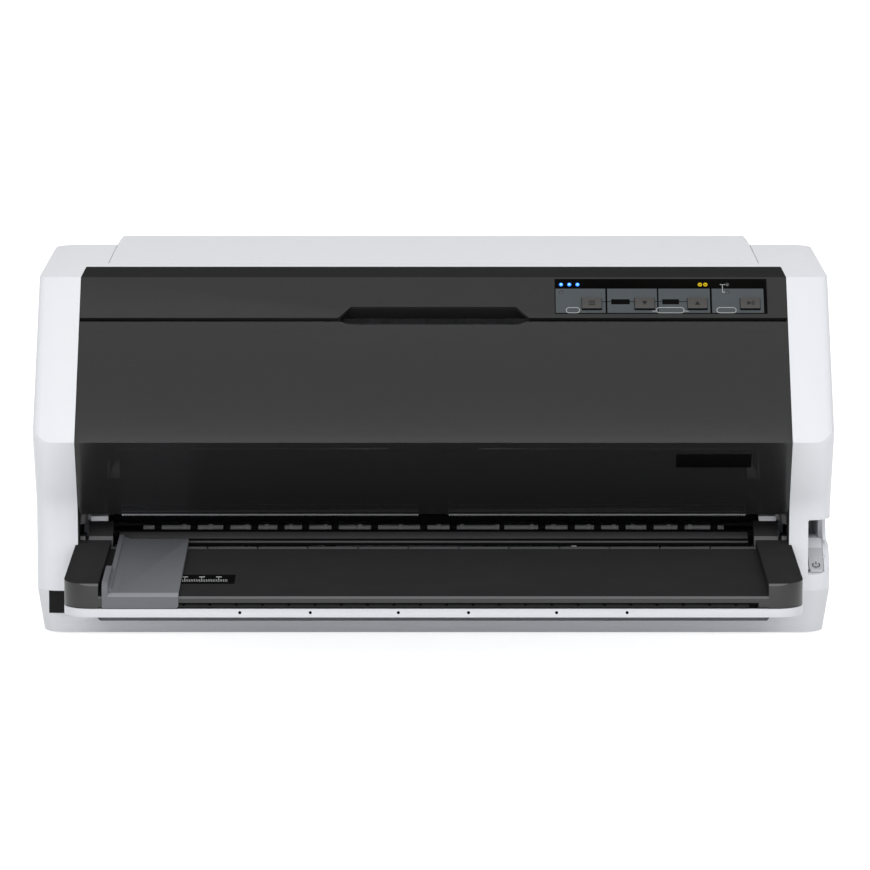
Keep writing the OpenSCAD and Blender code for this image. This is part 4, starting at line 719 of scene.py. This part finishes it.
class PRINTER_OT_cases(PieceOperator, bpy.types.Operator):
    """Rounds and finishes the upper case, the lower case and the rear lid"""

    bl_idname = "printer.cases"
    bl_label = "Cases and lid"

    # in mm, ends along x, y and z on the right: wall, two ribs and a rung
    LINER_BLOCKS = (
        ((200.6, 213.6), (-19, -17), (74, 194)), ((205.2, 206.2), (-20.6, -18.8), (74, 192)),
        ((200.6, 201.8), (-20.6, -18.8), (74, 192)), ((206, 213), (-30, -18), (84, 86)))

    def make(self, sizes, colours):
        white = moulded("case white", colours.case_white, rough=0.42, specular=0.4)
        grey = moulded("base grey", colours.base_white, rough=0.45, specular=0.4)
        # painted shade: the switch recess's inner faces a little darker than the case
        recess_shade = moulded("recess painted shade", srgb(226, 227, 230), rough=0.6, specular=0.1)
        # painted shade: dark grey on the pillars' inner faces beside the cover
        opening_shade = moulded("opening painted shade", srgb(96, 97, 99), rough=0.7, specular=0.0)
        # painted shade: the slot in the base's front darker than the base
        groove_shade = moulded("slot painted shade", srgb(150, 152, 156), rough=0.7, specular=0.0)
        case = traced("upper_case", "upper_case_shell")
        round_edges(case, self.in_recess_corner, 3 * MM, 6)
        complete(soften(case, sizes.case_edge, 3), "upper_case", "chassis", "white_case", white,
                 (recess_shade, self.in_switch_recess), (opening_shade, self.beside_cover))
        lid = soften(traced("rear_cover", "rear_lid_shell"), sizes.case_edge, 3)
        complete(lid, "rear_cover", "rear_lid", "lid_grey", white)
        base = soften(traced("lower_case", "lower_case_shell"), sizes.small_edge, 3)
        complete(base, "lower_case", "chassis", "base_grey", grey, (groove_shade, self.in_front_slot))
        self.seam_band()
        self.inner_liners()

    @staticmethod
    def in_recess_corner(a, b):
        """Inner upper corner of the power switch recess."""
        return all(abs(p.x - RECESS_X) < NEAR and abs(p.z - RECESS_TOP_Z) < NEAR for p in (a, b))

    @staticmethod
    def seam_band():
        """Thin band set back a little in the joint of the two cases, all round."""
        low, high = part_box("lower_case")
        back, half_height, corner = 0.1 * MM, 0.3 * MM, 14 * MM
        bpy.ops.mesh.primitive_plane_add(size=1, location=(0, (low.y + high.y) / 2, CASE_LOW.z - half_height))
        band = just_added("seam_band", (high.x - low.x - 2 * back, high.y - low.y - 2 * back, 1))
        framed(band, corner - back, 12, 1.2 * MM, 2 * half_height)
        paint(band, moulded("seam shade", srgb(96, 97, 100), rough=0.8, specular=0.0))
        settle(band, "chassis")

    @classmethod
    def inner_liners(cls):
        """Grey liners between the side frames and the pillars, with ribs, seen through the smoked cover."""
        finish = moulded("liner grey", srgb(176, 177, 180), rough=0.6, specular=0.1)
        for side, name in ((-1, "inner_liner_left"), (1, "inner_liner_right")):
            blocks = [box("block", ((side * x0, side * x1), y, z)) for (x0, x1), y, z in cls.LINER_BLOCKS]
            liner = soften(joined(blocks, name), 0.3 * MM)
            paint(liner, finish)
            settle(liner, "chassis")

    @staticmethod
    def in_switch_recess(c, n):
        """Inner wall, ceiling and back of the power switch recess, which see little light; they are painted a
        little darker as shade.
        """
        inside = RECESS_X - 1 * MM < c.x < CASE_HIGH.x - 5 * MM and -62 * MM < c.y < 15 * MM
        return inside and 50 * MM < c.z < 70 * MM and (n.x > 0.5 or n.y < -0.5 or n.z < -0.5)

    @staticmethod
    def beside_cover(c, n):
        """Upright inner faces of the pillars, beside and behind the cover, painted dark grey as shade."""
        inner = abs(abs(c.x) - OPEN_X) < 3 * MM and n.x * c.x < -0.5 * abs(c.x)
        return inner and CREASE_Y + 1 * MM < c.y < 20 * MM and 48 * MM < c.z < 180 * MM

    @staticmethod
    def in_front_slot(c, n):
        """Floor and walls of the long slot in the front of the base, painted darker as shade."""
        return abs(c.x) < OPEN_X and 8 * MM < c.z < 12 * MM and BASE_Y + 0.6 * MM < c.y < BASE_Y + 2.2 * MM


class PRINTER_OT_panel(PieceOperator, bpy.types.Operator):
    """Finishes the dark panel, its overlay with four fields, the keys, the printed marks and the lights"""

    bl_idname = "printer.panel"
    bl_label = "Control panel"

    # in mm: across x, or down the leaning face
    FIELDS = ((74.1, 104.3), (105.4, 135.6), (136.5, 167.7), (168.9, 200.3))
    FIELD_DOWN = (8.3, 25.6)
    KEYS_X = (96.0, 128.0, 160.0, 192.0)
    KEY_DOWN, KEY_OUT = 19.4, 1.63
    LIT = ((77.5, 5.4), (82.5, 5.4), (87.5, 5.4))
    UNLIT = ((77.5, 10.8), (178.5, 5.4), (178.5, 10.8))
    BOXES, BOX_DOWN = ((107.8, 119.0), (138.7, 148.9)), 17.7
    LINES, LINE_DOWN = ((102.4, 107.7), (119.0, 121.9), (134.2, 138.6), (148.9, 153.8)), 17.6
    OUTLINES, OUTLINE_DOWN = ((80.3, 88.7), (135.0, 152.0), (171.5, 183.6)), 23.75
    WINGS, WING_DOWN = (133.7, 153.3), 24.4
    LINKS = ((175.6, 5.4, 3.4, 0.4), (175.5, 8.1, 0.4, 5.6), (176.4, 10.8, 1.6, 0.4))  # x, down, size
    RINGS_X = (161.9, 165.2)

    def make(self, sizes, colours):
        panel = soften(traced("front_panel", "front_panel_shell"), sizes.small_edge, 3)
        complete(panel, "front_panel", "chassis", "panel_black",
                 moulded("panel face", srgb(40, 40, 41), specular=0.2),
                 (moulded("panel top", colours.panel_black, rough=0.7, specular=0.0), self.on_top),
                 # painted highlight: a light grey line on the panel's rounded top edge
                 (moulded("panel edge painted highlight", srgb(120, 120, 122), rough=0.4, specular=0.3), self.on_top_edge))
        self.overlay(colours)
        self.keys(sizes)
        self.printed_marks()
        self.lights(colours)

    @staticmethod
    def on_top(c, n):
        """The flat top of the panel."""
        return n.z > 0.95 and c.z > TOP_Z - 0.5 * MM

    @staticmethod
    def on_top_edge(c, n):
        """The rounded edge between the flat top and the leaning face, painted lighter as a highlight."""
        return 0.7 < n.z < 0.97 and n.y < -0.1 and abs(c.y - TOP_FRONT_Y) < 1 * MM

    def overlay(self, colours):
        """Glossy plate, cut along the borders of its four paler fields."""
        plate = traced("key_overlay", "key_overlay_plate")
        for field in self.FIELDS:
            for x in field:
                cut(plate, (x * MM, 0, 0), (1, 0, 0))
        for down in self.FIELD_DOWN:
            cut(plate, face_point(0, down * MM), (0, math.sin(FACE_LEAN), math.cos(FACE_LEAN)))

        def in_field(c, n):
            down, out = down_face(c)
            return out > -0.2 * MM and self.FIELD_DOWN[0] * MM < down < self.FIELD_DOWN[1] * MM and any(
                a * MM < c.x < b * MM for a, b in self.FIELDS)
        paint(plate, moulded("overlay black", srgb(4, 4, 4), rough=0.3, specular=0.0),
              (moulded("overlay field", colours.field_grey, rough=0.3, specular=0.3), in_field))
        smooth(plate)
        settle(plate, "chassis", ("key_overlay",))

    def keys(self, sizes):
        """Four keys, each with its symbol on the cap: three bars, down, up, and forward with two bars."""
        black = moulded("key black", srgb(66, 65, 64), rough=0.5, specular=0.3)
        # painted shade: the keys' lower sides, which face down the panel, near black
        side = moulded("key underside painted shade", srgb(16, 16, 16), rough=0.6, specular=0.0)
        ink = moulded("key sign", srgb(44, 44, 44), rough=0.6, specular=0.0)
        down = Vector((0, -math.sin(FACE_LEAN), -math.cos(FACE_LEAN)))
        for i, x in enumerate(self.KEYS_X, 1):
            node = f"key_{i}"
            key = soften(traced(node, f"key_cap_{i}"), sizes.small_edge, 3)
            complete(key, node, node, "key_black", black, (side, lambda c, n: n.dot(down) > 0.6))
            printed(self.key_sign(i, x), f"key_sign_{i}", ink, node)

    def key_sign(self, i, x):
        """The marks of one key's symbol."""
        def spot(dx, up):
            return face_point((x + dx) * MM, (self.KEY_DOWN - up) * MM, self.KEY_OUT * MM)

        def bar(dx, up, width, length):
            return flat_mark("sign", spot(dx, up), FACE_TURN, width * MM, length * MM)

        def arrow(dx, up, radius, spin=0.0):
            return triangle_mark("sign", spot(dx, up), FACE_TURN, radius * MM, spin)
        if i == 1:
            return [bar(0, up, 4, 0.6) for up in (-1.3, 0, 1.3)]
        if i == 2:
            return [arrow(0, 0.4, 1.9, math.pi)]
        if i == 3:
            return [arrow(0, -0.4, 1.9)]
        return [arrow(-0.9, 0, 1.7, -math.pi / 2)] + [bar(dx, 0, 0.5, 3.2) for dx in (1.2, 2.3)]

    def printed_marks(self):
        """Bare label boxes, rounded outlines, joining lines and two small yellow rings on the overlay."""
        def spot(x, down):
            return face_point(x * MM, down * MM, 0.14 * MM)

        def bar(name, x, down, width, length):
            return flat_mark(name, spot(x, down), FACE_TURN, width * MM, length * MM)

        def outline(name, x, down, width, height, line):
            return outline_mark(name, spot(x, down), FACE_TURN, width * MM, height * MM, line * MM)

        dark = [bar("box", (a + b) / 2, self.BOX_DOWN, b - a, 3.6) for a, b in self.BOXES]
        dark += [bar("line", (a + b) / 2, self.LINE_DOWN, b - a, 0.4) for a, b in self.LINES]
        printed(dark, "label_boxes", moulded("print black", srgb(6, 6, 6), specular=0.0))
        pale = [outline("rim", (a + b) / 2, self.OUTLINE_DOWN, b - a, 4.2, 0.42) for a, b in self.OUTLINES]
        pale += [bar("wing", x, self.WING_DOWN, 2.6, 0.4) for x in self.WINGS]
        pale += [bar("link", *link) for link in self.LINKS]
        printed(pale, "outline_marks", moulded("print pale", srgb(176, 178, 180), specular=0.0))
        rings = []
        for x in self.RINGS_X:
            rings += [outline("ring", x, 5.4, 2.6, 2.6, 0.6), bar("spoke", x, 5.1, 0.5, 1.6)]
        printed(rings, "yellow_marks", moulded("print yellow", srgb(222, 190, 28), specular=0.0))

    def lights(self, colours):
        """Lit and dark lenses: a low dome over each light pipe, with a bright core in the lit ones."""
        def lens(name, x, down, out, radius, rise):
            return dome(name, face_point(x * MM, down * MM, out * MM), FACE_TURN, radius * MM, rise * MM)
        parts = [traced("indicator_lights", "indicator_pipes")]
        parts += [lens("lens", x, down, 0.15, 1.25, 0.5) for x, down in self.LIT + self.UNLIT]
        parts += [lens("core", x, down, 0.42, 0.6, 0.3) for x, down in self.LIT]
        lenses = joined(parts, "indicator_lenses")

        def lit(c):
            return c.x < 90 * MM and down_face(c)[0] < 8 * MM

        def in_core(c, n):
            out = down_face(c)[1]
            return lit(c) and out > 0.41 * MM and any(
                (c - face_point(x * MM, down * MM, out)).length < 0.62 * MM for x, down in self.LIT)
        complete(lenses, "indicator_lights", "chassis", "lens_blue",
                 lit_lens("lens blue", colours.light_blue, 1.0),
                 (lit_lens("lens core", srgb(120, 205, 255), 1.2), in_core),
                 (lit_lens("lens dark", srgb(46, 48, 51), 0.0), lambda c, n: not lit(c)))


class PRINTER_OT_front_cover(PieceOperator, bpy.types.Operator):
    """Finishes the smoked front cover with its label and tear bar"""

    bl_idname = "printer.front_cover"
    bl_label = "Front cover"

    def make(self, sizes, colours):
        cover = traced("front_cover", "front_cover_shell")
        for side in (-1, 1):
            cut(cover, (side * COVER_CUT_X, 0, 0), (1, 0, 0))
        lift = Vector((0, -math.sin(COVER_LEAN), math.cos(COVER_LEAN))) * COVER_LIFT
        shift(cover, lambda p: p.z < COVER_LOW_Z + 2 * MM and abs(p.x) < COVER_CUT_X + 0.01 * MM, lift)
        soften(cover, sizes.small_edge, 3)

        def scoop_side(c, n):
            """Ends of the finger notch, painted lighter as highlights."""
            down, out = down_face(c)
            inside = 33 * MM < down < 41 * MM and -1.2 * MM < out < NEAR and abs(c.x) < 60 * MM
            return inside and abs(n.x) > 0.25
        complete(cover, "front_cover", "front_cover", "smoked", smoked_cover(colours),
                 (moulded("scoop painted highlight", srgb(118, 118, 120), rough=0.4, specular=0.3), scoop_side))
        label = soften(traced("cover_label", "cover_label_plate"), 0.1 * MM)
        complete(label, "cover_label", "front_cover", "label_black",
                 moulded("label black", srgb(12, 12, 13), specular=0.0))
        zinc = moulded("tear bar zinc", srgb(222, 223, 226), rough=0.4, specular=0.6, grain=3000.0)
        dress(zinc, "tear_bar")


class PRINTER_OT_table(PieceOperator, bpy.types.Operator):
    """Finishes the dark paper table, its white tray, the edge guide and the scale"""

    bl_idname = "printer.table"
    bl_label = "Paper table"

    def make(self, sizes, colours):
        self.table(sizes, colours)
        tray = soften(traced("table_tray", "table_tray_shell"), sizes.small_edge, 3)
        complete(tray, "table_tray", "chassis", "white_case",
                 moulded("tray white", srgb(222, 224, 229), rough=0.42, specular=0.3),
                 (moulded("hole painted shade", srgb(12, 12, 12), rough=0.9, specular=0.0), self.in_lip_hole))
        self.edge_guide(sizes, colours)
        self.scale()

    @staticmethod
    def table(sizes, colours):
        """Upper faces matt and front faces with a sheen; the bevelled edges, the ridge and the shoulders' front
        faces are painted lighter as highlights, and the groove's walls are painted near black as shade.
        """
        table = soften(traced("table_top", "table_top_shell"), sizes.small_edge, 3)
        groove_top = TABLE_LOW.z + 3.5 * MM
        groove_end = 190 * MM
        shoulder_y = BASE_Y + 13 * MM

        def front(c, n):
            outside = c.z > groove_top or abs(c.x) > groove_end - 1 * MM
            return outside and n.z < 0.5 and c.y < TABLE_LOW.y + 26 * MM

        # painted highlight: chamfers, the ridge and the shoulders' front faces get a lighter grey
        def painted_highlight(c, n):
            edge = -0.9 < n.y < -0.25 and n.z > 0.25 and c.z > groove_top
            ridge = c.y > BASE_Y - 8 * MM and abs(c.x) < 192 * MM and c.z > 51 * MM and n.y < 0.5
            shoulder = n.y < -0.9 and c.y > shoulder_y
            return (edge and c.y < shoulder_y) or (ridge and c.y < BASE_Y) or shoulder

        # painted shade: the groove's walls and ceiling near black
        def groove_shade(c, n):
            inside = TABLE_LOW.y + 0.4 * MM < c.y < TABLE_LOW.y + 4 * MM and abs(c.x) < groove_end
            return inside and c.z < groove_top + 0.3 * MM and n.z < 0.3
        complete(table, "table_top", "chassis", "table_black",
                 moulded("table black", colours.table_black, rough=0.6, specular=0.0),
                 (moulded("table front", colours.table_black, rough=0.45, specular=0.4), front),
                 (moulded("table edge painted highlight", srgb(94, 94, 96), rough=0.45, specular=0.4), painted_highlight),
                 (moulded("groove painted shade", srgb(24, 24, 25), rough=0.7, specular=0.0), groove_shade))

    @staticmethod
    def in_lip_hole(c, n):
        """Inside the small round holes in the tray's lip, painted black as shade."""
        height, reach = (TRAY_LOW.z + TABLE_LOW.z) / 2 + 0.4 * MM, 1.1 * MM  # of the holes, round their middles
        at_hole = any(abs(abs(c.x) - x * MM) < reach for x in (20.4, 71.6, 112.6))
        within = abs(c.z - height) < reach and c.y < TRAY_LOW.y + 2.3 * MM
        return at_hole and within and (abs(n.y) < 0.9 or c.y > TRAY_LOW.y + 1 * MM)

    @staticmethod
    def edge_guide(sizes, colours):
        """Grey plate with a rounded lower right corner; its bevelled front edge is painted paler as a
        highlight.
        """
        guide = traced("edge_guide", "edge_guide_plate")
        low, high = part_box("edge_guide")

        def lower_corner(a, b):
            return all(p.x > high.x - NEAR and p.z < low.z + 0.5 * MM for p in (a, b))
        round_edges(guide, lower_corner, 2 * MM, 4)
        soften(guide, sizes.small_edge, 3)

        # painted highlight on the bevelled front edge
        def front_edge(c, n):
            return c.x > low.x + 3.6 * MM and c.y < TABLE_LOW.y + 4 * MM and -0.95 < n.y < -0.2 and n.z > 0.25
        complete(guide, "edge_guide", "edge_guide", "guide_grey",
                 moulded("guide grey", colours.guide_grey, specular=0.2),
                 (moulded("guide edge painted highlight", srgb(140, 141, 146), rough=0.45, specular=0.3), front_edge))

    @staticmethod
    def scale():
        """The rule: a black strip with pale ticks, every tenth of them long with a bar across its top."""
        dress(moulded("strip black", srgb(6, 6, 7), specular=0.0), "scale_strip")
        low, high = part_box("scale_strip")
        strip_thick, first_x, pitch = 0.12 * MM, -149.7 * MM, 1 * MM
        lean = math.atan2(high.z - low.z - strip_thick, high.y - low.y)

        def tick(name, i, up, width, length):
            """A mark at the i-th place, up the strip's face from its front edge."""
            place = Vector((first_x + i * pitch, low.y + up * math.cos(lean) * MM,
                            low.z + strip_thick + 0.05 * MM + up * math.sin(lean) * MM))
            return flat_mark(name, place, lean, width * MM, length * MM)
        marks = []
        for i in range(29):
            if i % 10 == 3:
                marks += [tick("tick", i, 10.6, 0.3, 12.2), tick("tick_bar", i, 17, 3.4, 1.8)]
            else:
                marks.append(tick("tick", i, 8.0, 0.3, 5.8))
        printed(marks, "scale_marks", moulded("scale white", srgb(200, 201, 203), rough=0.6, specular=0.0))


class PRINTER_OT_switch(PieceOperator, bpy.types.Operator):
    """Finishes the power switch and the port cap"""

    bl_idname = "printer.switch"
    bl_label = "Power switch"

    SLOPE = math.radians(28)        # how far the switch leans
    ROCKER_RISE, ROCKER_RUN = 0.8 * MM, 20.25 * MM  # the rocker's face rises this much more along its length

    def make(self, sizes, colours):
        bed = soften(traced("power_switch_body", "switch_bed"), sizes.small_edge, 3)
        low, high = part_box("power_rocker")

        # painted shade: the walls of the well round the rocker dark grey
        def in_well(c, n):
            inside = low.x - 0.7 * MM < c.x < low.x + 9.6 * MM and low.y - 1.2 * MM < c.y < high.y + 2.2 * MM
            return inside and abs(n.z) < 0.8 and not (n.y < -0.85 and c.y < low.y)
        complete(bed, "power_switch_body", "chassis", "white_case",
                 moulded("bezel white", colours.case_white, rough=0.35),
                 (moulded("well painted shade", srgb(60, 60, 61), rough=0.8, specular=0.0), in_well))
        rocker = traced("power_rocker", "switch_rocker")

        def lower_corner(a, b):
            at_end = max(a.y, b.y) < low.y + 2.5 * MM and abs(a.x - b.x) < NEAR
            return at_end and abs(a.z - b.z) > 1.2 * MM and (a.z - b.z) * (a.y - b.y) < 0
        round_edges(rocker, lower_corner, 2.4 * MM, 6)
        soften(rocker, sizes.small_edge, 3)
        # painted highlight: the rocker's lower end face paler than the rocker
        complete(rocker, "power_rocker", "power_rocker", "rocker_grey",
                 moulded("rocker grey", srgb(186, 188, 191), rough=0.4, specular=0.3),
                 (moulded("rocker end painted highlight", srgb(214, 216, 219), rough=0.4, specular=0.4),
                  lambda c, n: n.y < -0.62))
        self.symbol(low, high)
        dress(moulded("cap black", srgb(26, 26, 27), rough=0.6, specular=0.1), "port_cap")

    def symbol(self, low, high):
        """The plain power symbol near the rocker's lower end: a broken ring with a bar."""
        middle = Vector((low.x + 4.9 * MM, (low.y + high.y) / 2, 43.41 * MM))
        lift = 2.66 * MM + 4.5 * MM * self.ROCKER_RISE / self.ROCKER_RUN
        tilt = self.SLOPE + math.atan2(self.ROCKER_RISE, self.ROCKER_RUN)
        centre, radius = -8.6 * MM, 2.1 * MM

        def spot(x, along):
            """A point on the rocker's face; along runs up the slope."""
            return middle + Vector((x, along * math.cos(self.SLOPE) - lift * math.sin(self.SLOPE),
                                    along * math.sin(self.SLOPE) + lift * math.cos(self.SLOPE)))
        marks = [flat_mark("bar", spot(0, centre + 1.7 * MM), tilt, 0.55 * MM, 2.6 * MM)]
        for step in range(-6, 7):
            turn = step * math.radians(21)
            place = spot(radius * math.sin(turn), centre - radius * math.cos(turn))
            marks.append(flat_mark("ring", place, tilt, 0.9 * MM, 0.55 * MM, turn))
        ink = moulded("sign dark", srgb(52, 52, 54), rough=0.6, specular=0.0)
        printed(marks, "power_symbol", ink, "power_rocker")


class PRINTER_OT_paper_drive(PieceOperator, bpy.types.Operator):
    """Finishes the rollers, shafts, gears, guides and tractors"""

    bl_idname = "printer.paper_drive"
    bl_label = "Paper drive"

    COLLARS_X = (-152.1, -135.9, -113.7, -101.8, -87.2, -65.8, -45.0, -20.0, 3.4, 17.4, 39.0, 60.0, 73.2,
                 94.8, 110.0, 121.6, 143.6, 156.7)  # in mm

    def make(self, sizes, colours):
        self.rollers()
        dress(metal("frame steel", srgb(196, 198, 200), 0.38), "side_frame_left", "side_frame_right",
              "guide_bar", "belt_brackets")
        dress(metal("shaft steel", srgb(210, 212, 214), 0.22, 1500.0), "tractor_drive_shaft",
              "tractor_support_shaft", "carriage_rail")
        dress(moulded("inner black", srgb(38, 38, 40), rough=0.6, specular=0.1), "platen", "rear_guide")
        self.front_guide(sizes)
        dress(moulded("gear white", srgb(226, 224, 214), rough=0.4), "roller_bushes", "front_roller_gear",
              "rear_roller_gear", "front_idler_gear", "rear_idler_gear", "tractor_gear", "idler_pulley")
        dress(metal("brass", (0.72, 0.52, 0.2)), "feed_pinion", "motor_pulley")
        dress(moulded("tractor black", srgb(58, 59, 62)), "tractor_left", "tractor_right", "tractor_lid_left",
              "tractor_lid_right")
        dress(metal("motor steel", srgb(120, 122, 126), 0.45), "feed_motor", "carriage_motor")

    @staticmethod
    def front_guide(sizes):
        """Dark guide: its sloping face and thin rim are painted a lighter grey, partly the plate's own colour
        and partly painted light, and the channel between them is painted black as shade.
        """
        guide = traced("front_guide", "front_guide_plate")
        rim_z, slope_top = 52.4 * MM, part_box("front_guide")[1].z - 1.2 * MM
        for height in (rim_z, slope_top):
            cut(guide, (0, 0, height), (0, 0, 1))
        soften(guide, sizes.sheet_edge)

        def lit(c, n):
            slope = c.y > BASE_Y + 25 * MM and n.y < -0.1 and n.z > 0.1 and c.z < slope_top - NEAR
            rim = c.y < BASE_Y + 22.9 * MM and c.z > rim_z and (n.z > 0.5 or n.y < -0.5)
            return slope or rim
        complete(guide, "front_guide", "chassis", None,
                 moulded("channel painted shade", srgb(20, 20, 21), rough=0.7, specular=0.0),
                 (moulded("guide plate grey with painted light", srgb(82, 82, 84), specular=0.2), lit))

    def rollers(self):
        """Black rubber rings on a hard grey sleeve, and steel journals; the pinch roller is all black."""
        rubber = moulded("ring rubber", srgb(24, 24, 25), rough=0.8, specular=0.1, grain=2600.0)
        sleeve = moulded("sleeve grey", srgb(186, 187, 189), specular=0.3)
        steel = metal("blackened steel", srgb(58, 58, 60), 0.4, 1500.0)
        for node in ("front_roller", "rear_roller"):
            low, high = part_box(node)
            middle = (low.y + high.y) / 2, (low.z + high.z) / 2
            roller = soften(traced(node, node + "_turned"), 0.15 * MM)

            def from_axis(c):
                return math.hypot(c.y - middle[0], c.z - middle[1])

            def on_sleeve(c, n):
                return abs(c.x) < 178 * MM and from_axis(c) < 4.75 * MM and abs(n.x) < 0.5
            complete(roller, node, node, None,
                     rubber, (sleeve, on_sleeve), (steel, lambda c, n: from_axis(c) < 4.1 * MM))
        self.collars(sleeve)
        dress(moulded("roller black", srgb(20, 20, 21), rough=0.7, specular=0.0), "pinch_roller")

    def collars(self, finish):
        """Low collars on the front roller's sleeve, between its rubber rings."""
        low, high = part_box("front_roller")
        middle = (low.y + high.y) / 2, (low.z + high.z) / 2
        parts = []
        for x in self.COLLARS_X:
            bpy.ops.mesh.primitive_cylinder_add(
                vertices=32, radius=5.1 * MM, depth=2.6 * MM, location=(x * MM, *middle),
                rotation=(0, math.pi / 2, 0))
            parts.append(bevelled(just_added("collar"), 0.45 * MM, 3))
        collars = joined(parts, "front_roller_beads")
        smooth(collars)
        paint(collars, finish)
        settle(collars, "front_roller")


class PRINTER_OT_carriage(PieceOperator, bpy.types.Operator):
    """Finishes the carriage, the print head, the belt and the ribbon"""

    bl_idname = "printer.carriage"
    bl_label = "Print carriage"

    def make(self, sizes, colours):
        dress(moulded("carriage black", srgb(48, 49, 52), specular=0.3), "carriage", "ribbon_cartridge")
        dress(metal("head casting", srgb(60, 62, 66), 0.5), "print_head")
        dress(moulded("belt rubber", srgb(30, 30, 31), rough=0.8, specular=0.1), "timing_belt", "ribbon_band")
        dress(moulded("knob blue", srgb(60, 108, 178), rough=0.4), "ribbon_knob")


class PRINTER_OT_electronics(PieceOperator, bpy.types.Operator):
    """Finishes the boards, the sockets, the feet and the screws"""

    bl_idname = "printer.electronics"
    bl_label = "Electronics and fixings"

    def make(self, sizes, colours):
        dress(circuit_board("board green", srgb(24, 84, 46), srgb(40, 112, 62)), "main_board", "key_board")
        dress(circuit_board("board brown", srgb(126, 92, 50), srgb(140, 106, 60)), "power_supply")
        dress(moulded("socket black", srgb(38, 38, 40)), "rear_sockets")
        dress(moulded("foot rubber", srgb(46, 46, 47), rough=0.85, specular=0.1), "rubber_feet")
        dress(metal("screw steel", srgb(170, 172, 176), 0.3), "case_screws")


class PRINTER_PT_sidebar(bpy.types.Panel):
    """Lists the printer's pieces"""

    bl_idname = "PRINTER_PT_sidebar"
    bl_label = "Dot matrix printer"
    bl_space_type = "VIEW_3D"
    bl_region_type = "UI"
    bl_category = "Printer"

    def draw(self, context):
        """A button for each operator, then the sizes and colours."""
        for operator in OPERATORS:
            self.layout.operator(operator.bl_idname)
        for group in (context.scene.printer_sizes, context.scene.printer_colours):
            for label in group.bl_rna.properties.keys():
                if label not in ("rna_type", "name"):
                    self.layout.prop(group, label)


OPERATORS = (
    PRINTER_OT_stage, PRINTER_OT_cases, PRINTER_OT_panel, PRINTER_OT_front_cover, PRINTER_OT_table,
    PRINTER_OT_switch, PRINTER_OT_paper_drive, PRINTER_OT_carriage, PRINTER_OT_electronics,
)
CLASSES = (PrinterSizes, PrinterColours, *OPERATORS, PRINTER_PT_sidebar)


def register():
    for cls in CLASSES:
        bpy.utils.register_class(cls)
    bpy.types.Scene.printer_sizes = bpy.props.PointerProperty(type=PrinterSizes)
    bpy.types.Scene.printer_colours = bpy.props.PointerProperty(type=PrinterColours)


def unregister():
    del bpy.types.Scene.printer_colours
    del bpy.types.Scene.printer_sizes
    for cls in reversed(CLASSES):
        bpy.utils.unregister_class(cls)


def main():
    register()
    for operator in OPERATORS:
        area, name = operator.bl_idname.split(".")
        getattr(getattr(bpy.ops, area), name)()


if __name__ == "__main__":
    main()
